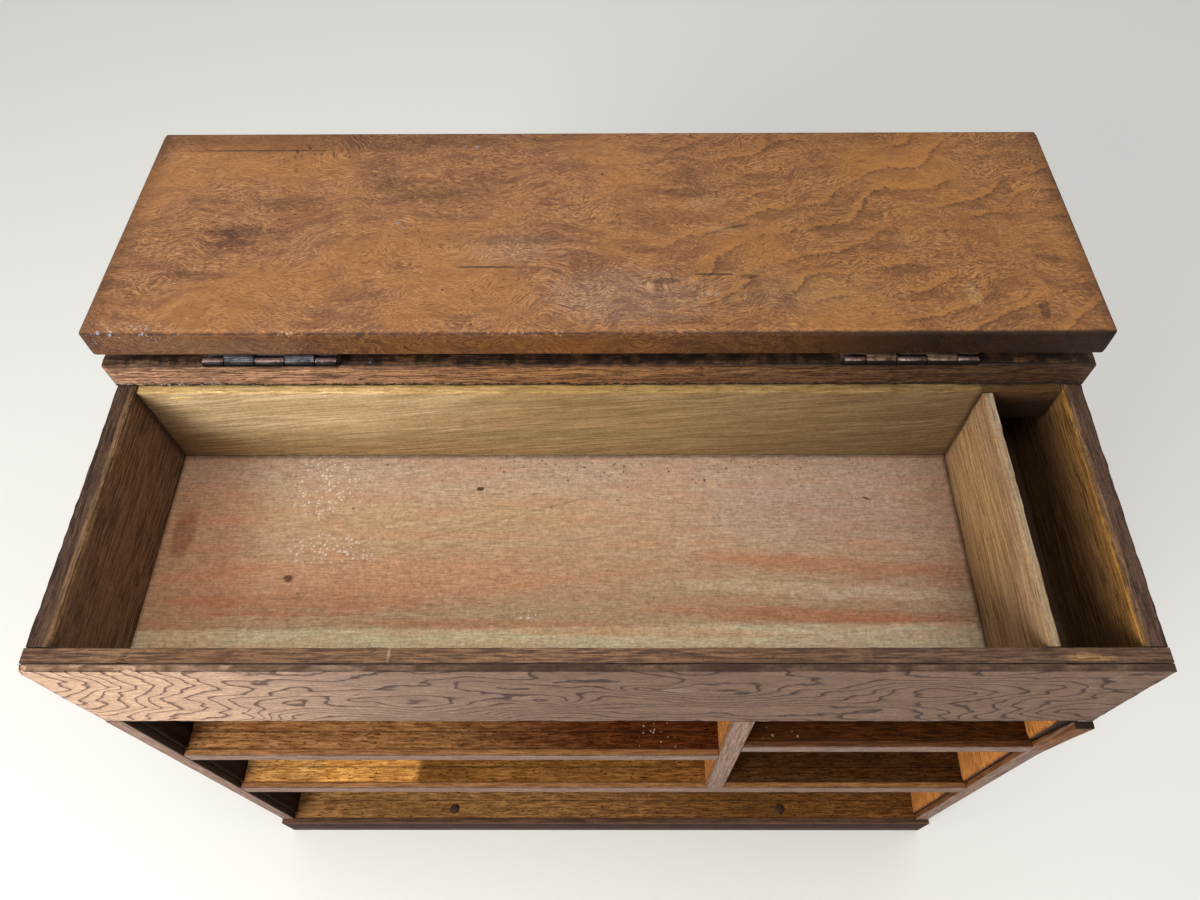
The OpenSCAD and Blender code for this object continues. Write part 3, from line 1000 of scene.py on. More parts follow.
@dataclass
class WornBoard:
    """A board with uneven worn arrises and chips, which replaces a CAD node. Its sizes are in mm."""

    node: str
    slot: str
    body: str = "case"
    arris: float = 0.7
    wear: float = 0.4
    spacing: float = 2.5
    corner: float = 0.0
    notches: tuple[Box, ...] = ()
    bites: tuple[Bite, ...] = ()
    leaning: bool = False
    low: Vector = field(init=False)
    high: Vector = field(init=False)

    def __post_init__(self) -> None:
        """Reads the board's corners."""
        self.low, self.high = Lean.board() if self.leaning else corners(self.node)

    def build(self, material: bpy.types.Material) -> None:
        """Shapes the board.

        Args:
            material: Its material.
        """
        piece = self._blank(self.low, self.high, f"{self.node}_worn")
        if self.corner:
            self._round_plan(piece)
        for notch in self.notches:
            self._subtract(piece, self._blank(Vector(notch.low), Vector(notch.high), "cutter"))
        self._divide(piece)
        self._apply(piece, bevel(piece, self.arris, 3))
        self._wear(piece)
        if self.bites:
            self._chip(piece)
        self._settle(piece, material)

    @staticmethod
    def _select(piece: bpy.types.Object) -> None:
        """Selects one object alone and makes it active.

        Args:
            piece: The object.
        """
        bpy.ops.object.select_all(action="DESELECT")
        piece.select_set(True)
        bpy.context.view_layer.objects.active = piece

    @staticmethod
    def _apply(piece: bpy.types.Object, modifier: bpy.types.Modifier) -> None:
        """Applies a modifier.

        Args:
            piece: The object that has it.
            modifier: The modifier.
        """
        WornBoard._select(piece)
        bpy.ops.object.modifier_apply(modifier=modifier.name)

    @staticmethod
    def _blank(low: Vector, high: Vector, name: str) -> bpy.types.Object:
        """Makes a plain block.

        Args:
            low: Its low corner in mm.
            high: Its high corner in mm.
            name: Its name.

        Returns:
            The block.
        """
        bpy.ops.object.select_all(action="DESELECT")
        bpy.ops.mesh.primitive_cube_add(size=1, location=(low + high) / 2 * MM)
        piece = bpy.context.object
        piece.name = name
        piece.scale = (high - low) * MM
        bpy.ops.object.transform_apply(location=True, rotation=True, scale=True)
        return piece

    def _subtract(self, piece: bpy.types.Object, cutter: bpy.types.Object) -> None:
        """Takes a cutter's volume away and deletes the cutter.

        Args:
            piece: The board.
            cutter: The cutter.
        """
        cut = piece.modifiers.new("cut", "BOOLEAN")
        cut.operation = "DIFFERENCE"
        cut.solver = "EXACT"
        cut.object = cutter
        self._apply(piece, cut)
        self._select(cutter)
        bpy.ops.object.delete()

    def _round_plan(self, piece: bpy.types.Object) -> None:
        """Rounds the four upright corners.

        Args:
            piece: The board.
        """
        self._select(piece)
        for edge in piece.data.edges:
            start, end = (piece.data.vertices[i].co for i in edge.vertices)
            edge.select = abs(start.z - end.z) > MM
        bpy.ops.object.mode_set(mode="EDIT")
        bpy.ops.mesh.select_mode(type="EDGE")
        bpy.ops.mesh.bevel(offset=self.corner * MM, segments=4)
        bpy.ops.object.mode_set(mode="OBJECT")

    def _divide(self, piece: bpy.types.Object) -> None:
        """Cuts the long sides into bays, so that the arrises can be uneven.

        Args:
            piece: The board.
        """
        # A side shorter than this many bays stays whole.
        fewest = 6
        self._select(piece)
        bpy.ops.object.mode_set(mode="EDIT")
        size = self.high - self.low
        for axis in range(3):
            normal = [float(axis == i) for i in range(3)]
            count = int(size[axis] / self.spacing) if size[axis] > fewest * self.spacing else 0
            for station in range(1, count):
                point = self.low.copy()
                point[axis] += size[axis] * station / count
                bpy.ops.mesh.select_all(action="SELECT")
                bpy.ops.mesh.bisect(plane_co=point * MM, plane_no=normal)
        bpy.ops.object.mode_set(mode="OBJECT")

    def _wear(self, piece: bpy.types.Object) -> None:
        """Wears the arrises unevenly, always inwards.

        Args:
            piece: The board.
        """
        group = piece.vertex_groups.new(name="arris")
        for vertex in piece.data.vertices:
            place = vertex.co / MM
            # The second least distance from a face is the distance from an edge.
            near = sorted(min(abs(place[i] - self.low[i]), abs(self.high[i] - place[i])) for i in range(3))
            if near[1] < self.arris * 1.2:
                group.add([vertex.index], 1.0, "REPLACE")
        self._displace(piece, "wear_fine", 2.2, -2 * self.wear, 0.2, "arris")
        self._displace(piece, "wear_long", 18.0, -1.4 * self.wear, 0.3, "arris")

    def _chip(self, piece: bpy.types.Object) -> None:
        """Presses the chips into the board's arrises.

        Args:
            piece: The board.
        """
        group = piece.vertex_groups.new(name="chips")
        for vertex in piece.data.vertices:
            depth = 0.0
            for bite in self.bites:
                away = [(vertex.co[i] / MM - bite.middle[i]) / bite.radii[i] for i in range(3)]
                depth = max(depth, 1 - sum(part * part for part in away))
            if depth > 0:
                group.add([vertex.index], depth, "REPLACE")
        self._displace(piece, "chip", 0.9, -1.6, 0.0, "chips")

    def _displace(self, piece: bpy.types.Object, name: str, grain: float, depth: float, middle: float,
                  group: str) -> None:
        """Moves a mesh along its normals by a cloud texture.

        Args:
            piece: The object.
            name: Name of the texture.
            grain: Size of the clouds in mm.
            depth: Full range of the movement in mm.
            middle: Texture value that moves nothing.
            group: Vertex group that limits it.
        """
        clouds = bpy.data.textures.get(name) or bpy.data.textures.new(name, "CLOUDS")
        clouds.noise_scale = grain * MM
        clouds.noise_depth = 2
        move = piece.modifiers.new("move", "DISPLACE")
        move.texture = clouds
        move.texture_coords = "LOCAL"
        move.strength = depth * MM
        move.mid_level = middle
        move.vertex_group = group
        self._apply(piece, move)

    def _settle(self, piece: bpy.types.Object, material: bpy.types.Material) -> None:
        """Smooths the board, sets its material and puts it in its node's place.

        Args:
            piece: The board.
            material: Its material.
        """
        self._select(piece)
        if self.leaning:
            piece.matrix_world = Lean.matrix()
            bpy.ops.object.transform_apply(location=True, rotation=True, scale=True)
        bpy.ops.object.shade_smooth_by_angle(angle=math.radians(50))
        weigh = piece.modifiers.new("normals", "WEIGHTED_NORMAL")
        weigh.keep_sharp = True
        self._apply(piece, weigh)
        piece.data.materials.clear()
        piece.data.materials.append(material)
        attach(piece, self.body)
        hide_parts(self.node)
        LOG.info("shaped %s with %d faces", piece.name, len(piece.data.polygons))


@dataclass
class Lid:
    """The folded lid, with its underside up. Its places are in mm of its own frame."""

    arris: float = 0.6
    wear: float = 0.3
    corner: float = 1.6

    def build(self) -> None:
        """Shapes and dresses the lid."""
        wood = Timber(
            "lid_wood", pale=tint(182, 130, 86), dark=tint(114, 74, 48), length=3.2, width=0.42, waver=1.5,
            contrast=1.9, hair=0.4, pore=0.4, fuzz=1.5, cloud=0.65, cloud_colour=tint(112, 72, 50),
            roughness=0.62, bump=0.35, arris=0.8, arris_width=1.3, arris_colour=tint(62, 42, 34),
            patches=self._tones() + self._stains() + self._near_edge(), dots=self._dots(), leaning=True,
        )
        board = WornBoard("lid_board", "lid_wood", body="lid", arris=self.arris, wear=self.wear,
                          corner=self.corner, bites=self._bites(), leaning=True)
        finish = BurlFinish(wood, fold_colour=tint(70, 42, 26), gold=tint(172, 118, 66))
        board.build(finish.build(board.node))

    @staticmethod
    def _tones() -> tuple[Patch, ...]:
        """Gives the broad tones, the dark edges and the long scratch at the far left.

        Returns:
            The patches.
        """
        low, high = Lean.board()
        ends = (band((x, 45, 0), (4, 60, 6), tint(92, 60, 42), 0.6, soft=4, rag=5) for x in (low.x, high.x))
        return (
            wash((0, 45, 0), (WIDE, 60, 9), tint(144, 98, 57), 1.0, (-30, 90)),
            band((0, 0, -0.4), (WIDE, 0.5, 0.5), tint(66, 42, 32), 0.8, soft=0.25, rag=0.9, grit=0.35),
            band((0, high.y, 0), (WIDE, 7, 6), tint(112, 72, 48), 0.3, soft=4, rag=5),
            Patch((-90, 84, 0), (62, 5, 6), tint(96, 60, 40), 0.45),
            Lid._stain(-111, 79.2, 24, 0.35, tint(58, 36, 26), 0.72, 0.3, 2.2),
            *ends,
        )

    @staticmethod
    def _stain(x: float, y: float, half_x: float, half_y: float, colour: Colour, strength: float,
               soft: float, rag: float, turn: float = 0.0) -> Patch:
        """Makes a ragged stain or scratch on the upper face.

        Args:
            x: Its middle along X.
            y: Its middle along Y.
            half_x: Its half size along X.
            half_y: Its half size along Y.
            colour: Its colour.
            strength: How much of it shows.
            soft: Softness of its edge.
            rag: Raggedness of its edge.
            turn: Its turn in degrees.

        Returns:
            The stain.
        """
        return Patch((x, y, 0), (half_x, half_y, 6), colour, strength, soft, rag, grit=0.45, turn=turn)

    @staticmethod
    def _stains() -> tuple[Patch, ...]:
        """Gives the stains, scratches and rubbed places of the upper face, from dark to pale.

        Returns:
            The patches.
        """
        stain = Lid._stain
        return (
            stain(-108, 41, 9, 2.6, tint(74, 46, 38), 0.56, 2, 10),
            stain(-110, 36, 6, 2.4, tint(92, 52, 40), 0.48, 2, 10),
            stain(-95, 53, 10, 3, tint(84, 54, 36), 0.48, 3, 15),
            stain(-66, 62, 7, 4, tint(84, 54, 36), 0.4, 3, 15),
            stain(-45, 58, 14, 7, tint(102, 70, 42), 0.32, 3, 20),
            stain(-118, 22, 10, 2, tint(92, 56, 42), 0.4, 2, 10),
            stain(-33, 25.6, 9, 0.4, tint(52, 32, 24), 0.72, 0.3, 2.2),
            stain(-25, 37, 16, 2.5, tint(92, 60, 38), 0.36, 2, 12.5),
            stain(19, 19.7, 4, 1.3, tint(72, 46, 34), 0.5, 0.8, 6),
            stain(13, 33, 5, 1.8, tint(92, 56, 42), 0.35, 1, 6.5),
            stain(42, 42.6, 4, 0.5, tint(54, 34, 24), 0.6, 0.4, 3, turn=14),
            stain(34, 22.4, 6, 0.5, tint(44, 27, 20), 0.68, 0.3, 2.2),
            stain(44, 21.6, 3, 0.9, tint(56, 36, 26), 0.56, 0.5, 3.8),
            stain(28, 58, 9, 2.2, tint(88, 52, 40), 0.44, 1.5, 10),
            stain(20, 47, 12, 4, tint(94, 58, 44), 0.4, 3, 17.5),
            stain(126, 8, 1.6, 3, tint(66, 38, 32), 0.6, 0.8, 7.5),
            stain(133, 29, 3.5, 2.2, tint(92, 56, 40), 0.3, 1, 7.5),
            stain(32, 53, 5, 4, tint(176, 140, 108), 0.3, 2, 15),
            stain(38, 42, 5, 2.6, tint(176, 140, 108), 0.25, 2, 12.5),
            stain(9, 14, 22, 10, tint(158, 130, 112), 0.4, 4, 30),
            stain(-26, 33, 15, 6, tint(160, 128, 104), 0.32, 4, 22.5),
            stain(93, 36, 5, 3, tint(176, 134, 104), 0.4, 1.5, 10),
            stain(107.6, 14, 2.2, 4.6, tint(172, 136, 106), 0.5, 0.9, 5, turn=8),
            stain(60, 15, 20, 7, tint(152, 122, 98), 0.32, 4, 22.5),
        )

    @staticmethod
    def _near_edge() -> tuple[Patch, ...]:
        """Gives the tones of the near edge: gold on the left with a painted sheen at the left end, and darker
        on the right, partly painted shade and partly darker wood.

        Returns:
            The patches.
        """
        return (
            band((0, 0, -5.6), (WIDE, 0.9, 5), tint(108, 70, 42), 0.9, soft=0.4, rag=0.5),
            Patch((-20, 0, -5), (50, 2, 4), tint(146, 96, 46), 0.6, soft=4, rag=8, grit=0.2),
            # Painted sheen at the left end of the near edge.
            Patch((-104, 0, -6), (24, 2, 3.6), tint(154, 128, 110), 0.5, soft=2, rag=6, grit=0.2),
            # Darker towards the right: painted shade of the light's falloff, partly darker wood.
            band((0, 0, -5.4), (WIDE, 0.9, 5), tint(40, 26, 20), 0.9, soft=0.4, rag=0.5, fade=(5, 95)),
            Patch((70, 0, -5), (60, 2, 1), tint(150, 104, 66), 0.45, soft=1, rag=6),
        )

    @staticmethod
    def _dots() -> tuple[Dots, ...]:
        """Gives the crumbs of paint along the near arris, and the light and dark specks.

        Returns:
            The specks.
        """
        return (
            Dots((-134, 0.4, -0.6), (7, 1.4, 1.4), tint(176, 190, 200), cell=1.1, spot=0.5, share=0.55),
            Dots((-85, 0.2, -0.3), (3, 0.7, 0.7), tint(212, 168, 124), cell=0.9, spot=0.5, share=0.8, soft=1),
            Dots((-18, 0.3, -0.4), (14, 1.2, 1.2), tint(176, 140, 108), cell=1.2, spot=0.5),
            Dots((-20, 79, 0), (7, 6, 4), tint(214, 176, 140), cell=2.2, spot=0.4, share=0.5),
            Dots((116.5, 49.6, 0), (1.8, 1.4, 4), tint(226, 188, 132), cell=1.3, spot=0.45, share=0.6,
                 soft=1),
            Dots((-38, 80, 0), (5, 4, 4), tint(140, 148, 158), cell=2.2, spot=0.55, share=0.5),
            Dots((-60, 42, 0), (4, 3, 4), tint(132, 142, 154), cell=1.8, spot=0.6, share=0.5),
            Dots((0, 45, 0), (150, 48, 4), tint(58, 36, 26), cell=4.5, spot=0.5, share=0.35, strength=0.7),
            Dots((0, 40, 0), (150, 48, 4), tint(206, 160, 112), cell=6.5, share=0.3),
        )

    @staticmethod
    def _bites() -> tuple[Bite, ...]:
        """Gives the chips: one in the far arris, three in the near one and one at each end.

        Returns:
            The chips.
        """
        low, high = Lean.board()
        return (
            Bite((-94.6, high.y + 0.4, 0), (1.1, 1.2, 3)),
            Bite((-85, -0.2, 0.1), (2.2, 0.7, 0.5)),
            Bite((-31, -0.3, 0.1), (3, 0.6, 0.5)),
            Bite((97, -0.3, 0.1), (1.6, 0.7, 0.6)),
            Bite((low.x, 61, 0.2), (0.6, 2, 0.8)),
            Bite((high.x, 24, 0.2), (0.6, 3, 0.7)),
        )


@dataclass
class Case:
    """The case's boards, the tray, the bays and the plinth. Its places are in mm of the frame."""

    arris: float = 0.35
    strip_arris: float = 0.25
    plinth_arris: float = 0.5
    inner_x: float = field(init=False)
    floor_z: float = field(init=False)
    front_y: float = field(init=False)
    front_z: float = field(init=False)
    tray: Box = field(init=False)

    def __post_init__(self) -> None:
        """Reads the tray's place from the frame."""
        side = corners("left_side")[1]
        front_low, front_high = corners("tray_front_board")
        self.inner_x = -side.x
        self.floor_z = corners("tray_floor")[1].z
        self.front_y = front_high.y
        self.front_z = front_low.z
        far = (corners("tray_divider")[0].x, corners("tray_back_wall")[0].y, side.z + 60)
        self.tray = Box((-self.inner_x, self.front_y, self.floor_z), far)

    def build(self) -> None:
        """Shapes and dresses the case."""
        # The sides' inner faces beside the bays get painted shade on the left and painted light on the right.
        self._side("left_side", -1, tint(108, 82, 61), tint(30, 12, 6), (-47.7, -18.0))
        self._side("right_side", 1, tint(99, 72, 46), tint(182, 119, 61), (-23.3, -64.0))
        self._rear()
        self._rear_top()
        self._tray_wall()
        self._divider()
        self._floor()
        self._front()
        self._facing()
        self._strips()
        self._bays()
        self._plinth()

    @staticmethod
    def _plain(wood: Timber, nodes: tuple[str, ...], radius: float) -> None:
        """Dresses nodes alike, each with its own worn arrises.

        Args:
            wood: Their finish. Its name comes before each node's.
            nodes: The CAD nodes.
            radius: Radius of their arrises in mm.
        """
        for node in nodes:
            paint(node, TimberFinish(replace(wood, name=f"{wood.name}_{node}")).build(node))
            soften(node, radius)

    @staticmethod
    def _worn(board: WornBoard, wood: Timber) -> None:
        """Shapes and dresses a worn board.

        Args:
            board: The board.
            wood: Its finish.
        """
        board.build(TimberFinish(wood).build(board.node))

    def _side(self, node: str, sign: int, shade: Colour, bay_light_and_shade: Colour, chips: tuple[float, float]) -> None:
        """Shapes and dresses a side board.

        Args:
            node: The CAD node.
            sign: -1 on the left, 1 on the right.
            shade: Colour of its inner face beside the tray.
            bay_light_and_shade: Colour of its inner face beside the bays.
            chips: Where its two chips are along Y.
        """
        low, high = corners(node)
        face, outer, top = sign * self.inner_x, (low.x if sign < 0 else high.x), high.z
        patches = (
            band((face + sign * 0.8, 0, top), (1.2, WIDE, 1.2), tint(112, 85, 60), 0.8, soft=0.5, rag=1.2,
                 grit=0.3),
            band((face, 0, top - 19), (0.5, WIDE, 18.5), shade, soft=0.4, rag=0.5),
            # Painted light on the inner face beside the bays: near black shade on the left side, a bright
            # orange lit wall on the right side.
            band((face, 0, 95), (0.5, WIDE, 92), bay_light_and_shade, soft=0.4, rag=0.5),
        )
        # On the right side, the top of the inner face beside the slot gets painted light, strongest at the
        # top, where light reaches in over the divider.
        if sign > 0:
            patches += (band((face, 0, top - 8), (0.5, WIDE, 8.5), tint(97, 71, 45), 0.85, soft=0.3, rag=0.4,
                             fade=(top - 15, top + 1), fade_axis=2),)
        wood = Timber(
            f"{node}_wood", pale=tint(90, 68, 55), dark=tint(52, 38, 31), grain=Grain.Y, gloss=0.06,
            width=0.55, length=9, contrast=2.2, waver=3, cloud=0.4, cloud_colour=tint(86, 64, 52), arris=0.75,
            arris_width=1.1, arris_colour=tint(48, 36, 32), corner=self.tray, patches=patches,
            dots=(Dots((face + sign * 2, 0, top), (3, 90, 2), tint(44, 30, 22), cell=1.5, spot=0.34,
                       share=0.5, strength=0.7),),
        )
        near, far = chips
        notch = Box((low.x - 1, low.y - 1, self.front_z), (high.x + 1, self.front_y, top + 1))
        bites = (Bite((outer, near, top), (0.8, 1.8, 0.7)), Bite((outer, far, top), (0.6, 2.6, 0.5)))
        self._worn(WornBoard(node, "case_wood", arris=0.45, wear=0.35, notches=(notch,), bites=bites), wood)

    def _rear(self) -> None:
        """Dresses the rear panel and its pegs."""
        panel = Timber("rear", pale=tint(140, 104, 74), dark=tint(92, 64, 44), grain=Grain.Z, width=1.4,
                       length=40, waver=10, cloud_colour=tint(96, 70, 50))
        pegs = Timber("rear", pale=tint(176, 142, 100), dark=tint(120, 88, 58), grain=Grain.Y, width=0.3,
                      length=4, arris=0.0)
        self._plain(panel, ("back_panel",), 0.6)
        self._plain(pegs, ("back_pegs",), 0.15)

    def _rear_top(self) -> None:
        """Shapes and dresses the fixed rear top. The front of its top face, seen in the slit under the lid,
        is near black with painted shade and grime, and its near face is dark along its foot.
        """
        low, high = corners("rear_top_board")
        y, foot, top = low.y, low.z, high.z
        wood = Timber(
            "rail_wood", pale=tint(162, 116, 76), dark=tint(88, 56, 36), width=0.6, length=9, waver=3,
            contrast=2.4, pore=0.9, fuzz=1.5, cloud_colour=tint(104, 66, 46), arris=0.7, arris_width=0.9,
            arris_colour=tint(72, 50, 38),
            patches=(
                # The near face is paler on the left and darker towards the right: painted light and shade of
                # the lamp's falloff, partly the wood's own tone.
                Patch((-120, y, foot + 5), (60, 2.5, 12), tint(176, 136, 108), 0.55, soft=10, rag=8),
                band((0, y, foot + 5), (WIDE, 1.2, 12), tint(54, 36, 25), 0.9, soft=0.4, rag=0.4,
                     fade=(-40, 120)),
                Patch((20, y, foot + 7), (90, 1.6, 1.6), tint(166, 122, 74), 0.45, soft=1, rag=6),
                # Painted shade with some grime: the front of the top face, in the slit under the lid, is near
                # black.
                band((0, y, top), (WIDE, 6, 0.6), tint(18, 13, 10), 0.96, soft=1, rag=3, grit=0.25,
                     flat=True),
                band((0, y, foot), (WIDE, 2, 1.3), tint(34, 29, 20), soft=0.4, rag=5, grit=0.5, flat=True),
            ),
            dots=(
                Dots((-130, y, foot + 0.8), (14, 2, 1.6), tint(186, 190, 194), cell=1.1, spot=0.5, share=0.5),
                Dots((-66, y, top - 0.8), (1.6, 2, 1), tint(140, 182, 200), cell=1.6, spot=0.7, share=0.9,
                     soft=1),
                Dots((0, y, top - 2), (150, 2, 4), tint(60, 40, 30), cell=2.2, spot=0.4),
            ),
        )
        bites = (Bite((-112, y - 0.2, foot), (2, 0.8, 0.7)), Bite((64, y - 0.2, top), (2.6, 0.6, 0.5)))
        self._worn(WornBoard("rear_top_board", "case_wood", arris=0.6, wear=0.3, bites=bites), wood)

    def _tray_wall(self) -> None:
        """Shapes and dresses the tray's rear wall, with its splintered top and the slot's window."""
        low, high = corners("tray_back_wall")
        y, top, slot_x = low.y, high.z, corners("tray_divider")[1].x
        wood = Timber(
            "rear_wall_wood", pale=tint(178, 148, 104), dark=tint(132, 104, 66), width=0.8, contrast=1.5,
            pore=0.25, cloud_colour=tint(140, 112, 70), slant=0.12, roughness=0.72, arris=0.0,
            corner=self.tray, corner_width=1.4, corner_colour=tint(70, 54, 32),
            patches=(
                # Painted light and shade: the near face is paler at the top left, where the light falls, and
                # darker towards the right.
                Patch((-98, y, top - 8), (54, 3, 16), tint(200, 172, 132), 0.75, soft=8, rag=12),
                wash((0, y, 210), (WIDE, 3, 60), tint(100, 78, 52), 0.9, (-30, 130)),
                # Painted shade on the lintel over the slot's window, darker downwards.
                band((127, y, top - 8), (12.5, 3, 8.2), tint(96, 68, 40), 0.95, soft=0.6, rag=0.8),
                band((127, y, top - 12), (12.5, 3, 8), tint(84, 58, 34), 0.8, soft=2.5, rag=1.5),
                Patch((low.x, y, top - 24), (7, 3, 30), tint(96, 72, 44), 0.6, soft=6, rag=5),
                Patch((-126, y, top - 3), (3, 3, 1), tint(200, 166, 84), 0.35, soft=1.5, rag=6, grit=0.4),
                Patch((-15, y, top - 24), (70, 3, 3), tint(134, 116, 76), 0.4, soft=2, rag=8, grit=0.05),
                band((0, y, top), (WIDE, 3, 0.8), tint(196, 158, 96), 0.7, soft=0.6, rag=1.6, grit=0.4),
            ),
            dots=(Dots((0, y, self.floor_z + 1), (130, 2, 2), tint(52, 40, 24), cell=1.5, spot=0.4,
                       share=0.5),),
        )
        ledge = tuple(
            Bite((low.x + 12 + 11.3 * i, y - 0.2 - 0.25 * math.sin(4.1 * i), top + 0.1),
                 (3.4 + 2.2 * math.sin(2.3 * i), 0.9, 0.7 + 0.25 * math.sin(1.7 * i)))
            for i in range(22)
        )
        window = Box((slot_x, low.y - 1, low.z - 1), (high.x + 1, high.y + 1, top - 14))
        self._worn(WornBoard("tray_back_wall", "tray_wood", arris=0.5, wear=0.3, notches=(window,),
                             bites=ledge), wood)

    def _divider(self) -> None:
        """Shapes and dresses the divider, and dresses the slot's partition."""
        low, high = corners("tray_divider")
        wood = Timber(
            "divider_wood", pale=tint(182, 148, 112), dark=tint(132, 102, 72), grain=Grain.Y, width=0.7,
            cloud_colour=tint(140, 108, 70), arris=0.55, arris_width=0.8, arris_colour=tint(104, 78, 54),
            corner=self.tray, corner_colour=tint(84, 60, 38),
            patches=(
                band((high.x - 1.2, -30, high.z), (1.3, 60, 0.5), tint(150, 136, 114), 0.6, soft=0.4, rag=1),
                Patch((low.x, -30, high.z - 20), (0.5, 30, 14), tint(186, 146, 86), 0.4, soft=6, rag=10),
            ),
        )
        self._worn(WornBoard("tray_divider", "tray_wood", arris=0.6, wear=0.3,
                             bites=(Bite((low.x, -77, high.z), (0.8, 2.4, 0.9)),)), wood)
        dark = replace(wood, name="partition", pale=tint(96, 70, 44), dark=tint(58, 40, 26), patches=())
        self._plain(dark, ("slot_rear_partition",), 0.3)

    def _floor(self) -> None:
        """Dresses the tray's floor: red and pale streaks, stains, knots and crumbs."""
        top = self.floor_z
        pale, red, crumb = tint(210, 186, 152), tint(178, 114, 76), tint(62, 46, 28)
        wood = Timber(
            "tray_floor_wood", pale=tint(200, 168, 132), dark=tint(162, 128, 96), width=0.42, length=5,
            waver=1.2, contrast=1.1, hair=0.25, pore=0.25, pore_colour=tint(116, 78, 52), cloud=0.4,
            cloud_colour=tint(186, 136, 100), roughness=0.82, bump=0.2, fuzz=1.7, arris=0.0,
            corner=self.tray, corner_width=1.3, corner_strength=0.55, corner_colour=tint(84, 58, 38),
            patches=(
                Patch((-10, -7, top), (150, 10, 9), tint(182, 158, 138), 0.6, soft=6, rag=9, grit=0.06),
                Patch((-126, -38, top), (16, 44, 20), tint(170, 114, 80), 0.5, soft=10, rag=10),
                Patch((-132, -30, top), (3.5, 9, 9), tint(128, 74, 46), 0.5, soft=3, rag=7, grit=0.3),
                Patch((-62, -46, top), (62, 7, 9), tint(202, 142, 104), 0.5, soft=6, rag=8, grit=0.06),
                wash((0, -35, top), (WIDE, 60, 9), tint(158, 128, 104), 0.9, (10, 140)),
                Patch((-92, -54, top), (44, 3, 6), red, 0.4, soft=3, rag=9),
                Patch((-95, -57.5, top), (26, 0.8, 6), red, 0.5, soft=1, rag=3, grit=0.2),
                Patch((-10, -62, top), (66, 2, 6), red, 0.4, soft=2, rag=6, turn=-2),
                Patch((74, -42, top), (38, 3, 6), red, 0.5, soft=3, rag=9, turn=-4),
                Patch((66, -58, top), (46, 2.4, 6), red, 0.6, soft=2.5, rag=8, turn=-2),
                Patch((70, -50, top), (44, 2.4, 6), pale, 0.5, soft=2, rag=6, turn=-3, grit=0.15),
                # Painted shade: the floor of the deep slot is near black.
                band((127, -40, top), (12.5, 60, 6), tint(54, 34, 20), 0.95, soft=0.6, rag=0.8, flat=True),
                Patch((70, -24, top), (46, 9, 9), tint(172, 146, 132), 0.5, soft=6, rag=9, grit=0.06),
                Patch((-32, -25.6, top), (33, 0.5, 6), tint(144, 122, 84), 0.4, soft=0.8, rag=3, turn=16,
                      grit=0.3),
                # Painted light: a pale band along the front board that takes out the shadow which the board
                # casts on the floor.
                band((0, -72, top), (160, 10.4, 20), tint(206, 188, 150), 0.95, soft=0.9, rag=2.4, turn=0.6),
                Patch((-96, -45.8, top), (1.6, 1.1, 6), tint(84, 48, 30), 0.85, soft=0.6, rag=1.6, grit=0.6,
                      flat=True),
                Patch((-39, -14.3, top), (1.3, 0.7, 6), tint(48, 36, 24), 0.9, soft=0.4, rag=1.2, grit=0.8,
                      flat=True),
                Patch((86.4, -17.9, top), (1.4, 0.35, 6), tint(52, 34, 24), 0.85, soft=0.3, rag=0.8, turn=-24,
                      grit=0.9, flat=True),
            ),
            dots=(
                Dots((0, -6, top), (120, 6, 9), crumb, cell=1.5, spot=0.36, share=0.5, soft=5),
                Dots((10, -12, top), (60, 12, 9), crumb, cell=2.6, spot=0.45, share=0.5, soft=6),
                Dots((-30, -30, top), (110, 34, 9), tint(96, 62, 40), cell=4.2, spot=0.4, share=0.3, soft=9),
                Dots((-89, -13, top), (12, 11, 9), tint(232, 214, 202), cell=1.1, spot=0.46, share=0.6,
                     soft=5),
                Dots((-84, -36, top), (14, 6, 9), tint(232, 210, 196), cell=1.1, spot=0.46, share=0.55),
                Dots((-22, -58, top), (5, 2, 9), tint(232, 218, 204), cell=1.1, spot=0.4, share=0.6, soft=2),
                Dots((-10, -74, top), (130, 8, 9), tint(150, 132, 98), cell=1.6, spot=0.6, share=0.5,
                     strength=0.5),
            ),
        )
        paint("tray_floor", TimberFinish(wood).build("tray_floor"))
        soften("tray_floor", 0.3)

    def _front(self) -> None:
        """Shapes and dresses the tray's front board, whose top is the near rim."""
        low, high = corners("tray_front_board")
        middle, top = (low.y + high.y) / 2, high.z
        wood = Timber(
            "front_board_wood", pale=tint(126, 94, 68), dark=tint(66, 47, 36), width=0.5, length=9, waver=2,
            contrast=2.2, arris=0.35, arris_width=0.5, arris_colour=tint(58, 42, 34), corner=self.tray,
            patches=(
                Patch((-60, high.y - 1, top), (80, 2.2, 2), tint(126, 92, 66), 0.6, soft=4, rag=8),
                wash((0, middle, top), (WIDE, 3, 2), tint(78, 58, 46), 0.6, (0, 90)),
                Patch((124, -83.6, top), (6, 1.2, 2), tint(160, 122, 74), 0.6, soft=0.8, rag=3, grit=0.4),
                Patch((-52, middle, top), (0.4, 2.5, 2), tint(150, 120, 92), 0.6, soft=0.4, rag=1.4,
                      grit=0.5),
            ),
            dots=(Dots((0, middle, top), (150, 3, 2), tint(50, 34, 26), cell=1.8, spot=0.36, share=0.5,
                       strength=0.75),),
        )
        self._worn(WornBoard("tray_front_board", "tray_wood", arris=0.15, wear=0.1,
                             bites=(Bite((-120, low.y, top), (2.6, 0.8, 0.6)),)), wood)

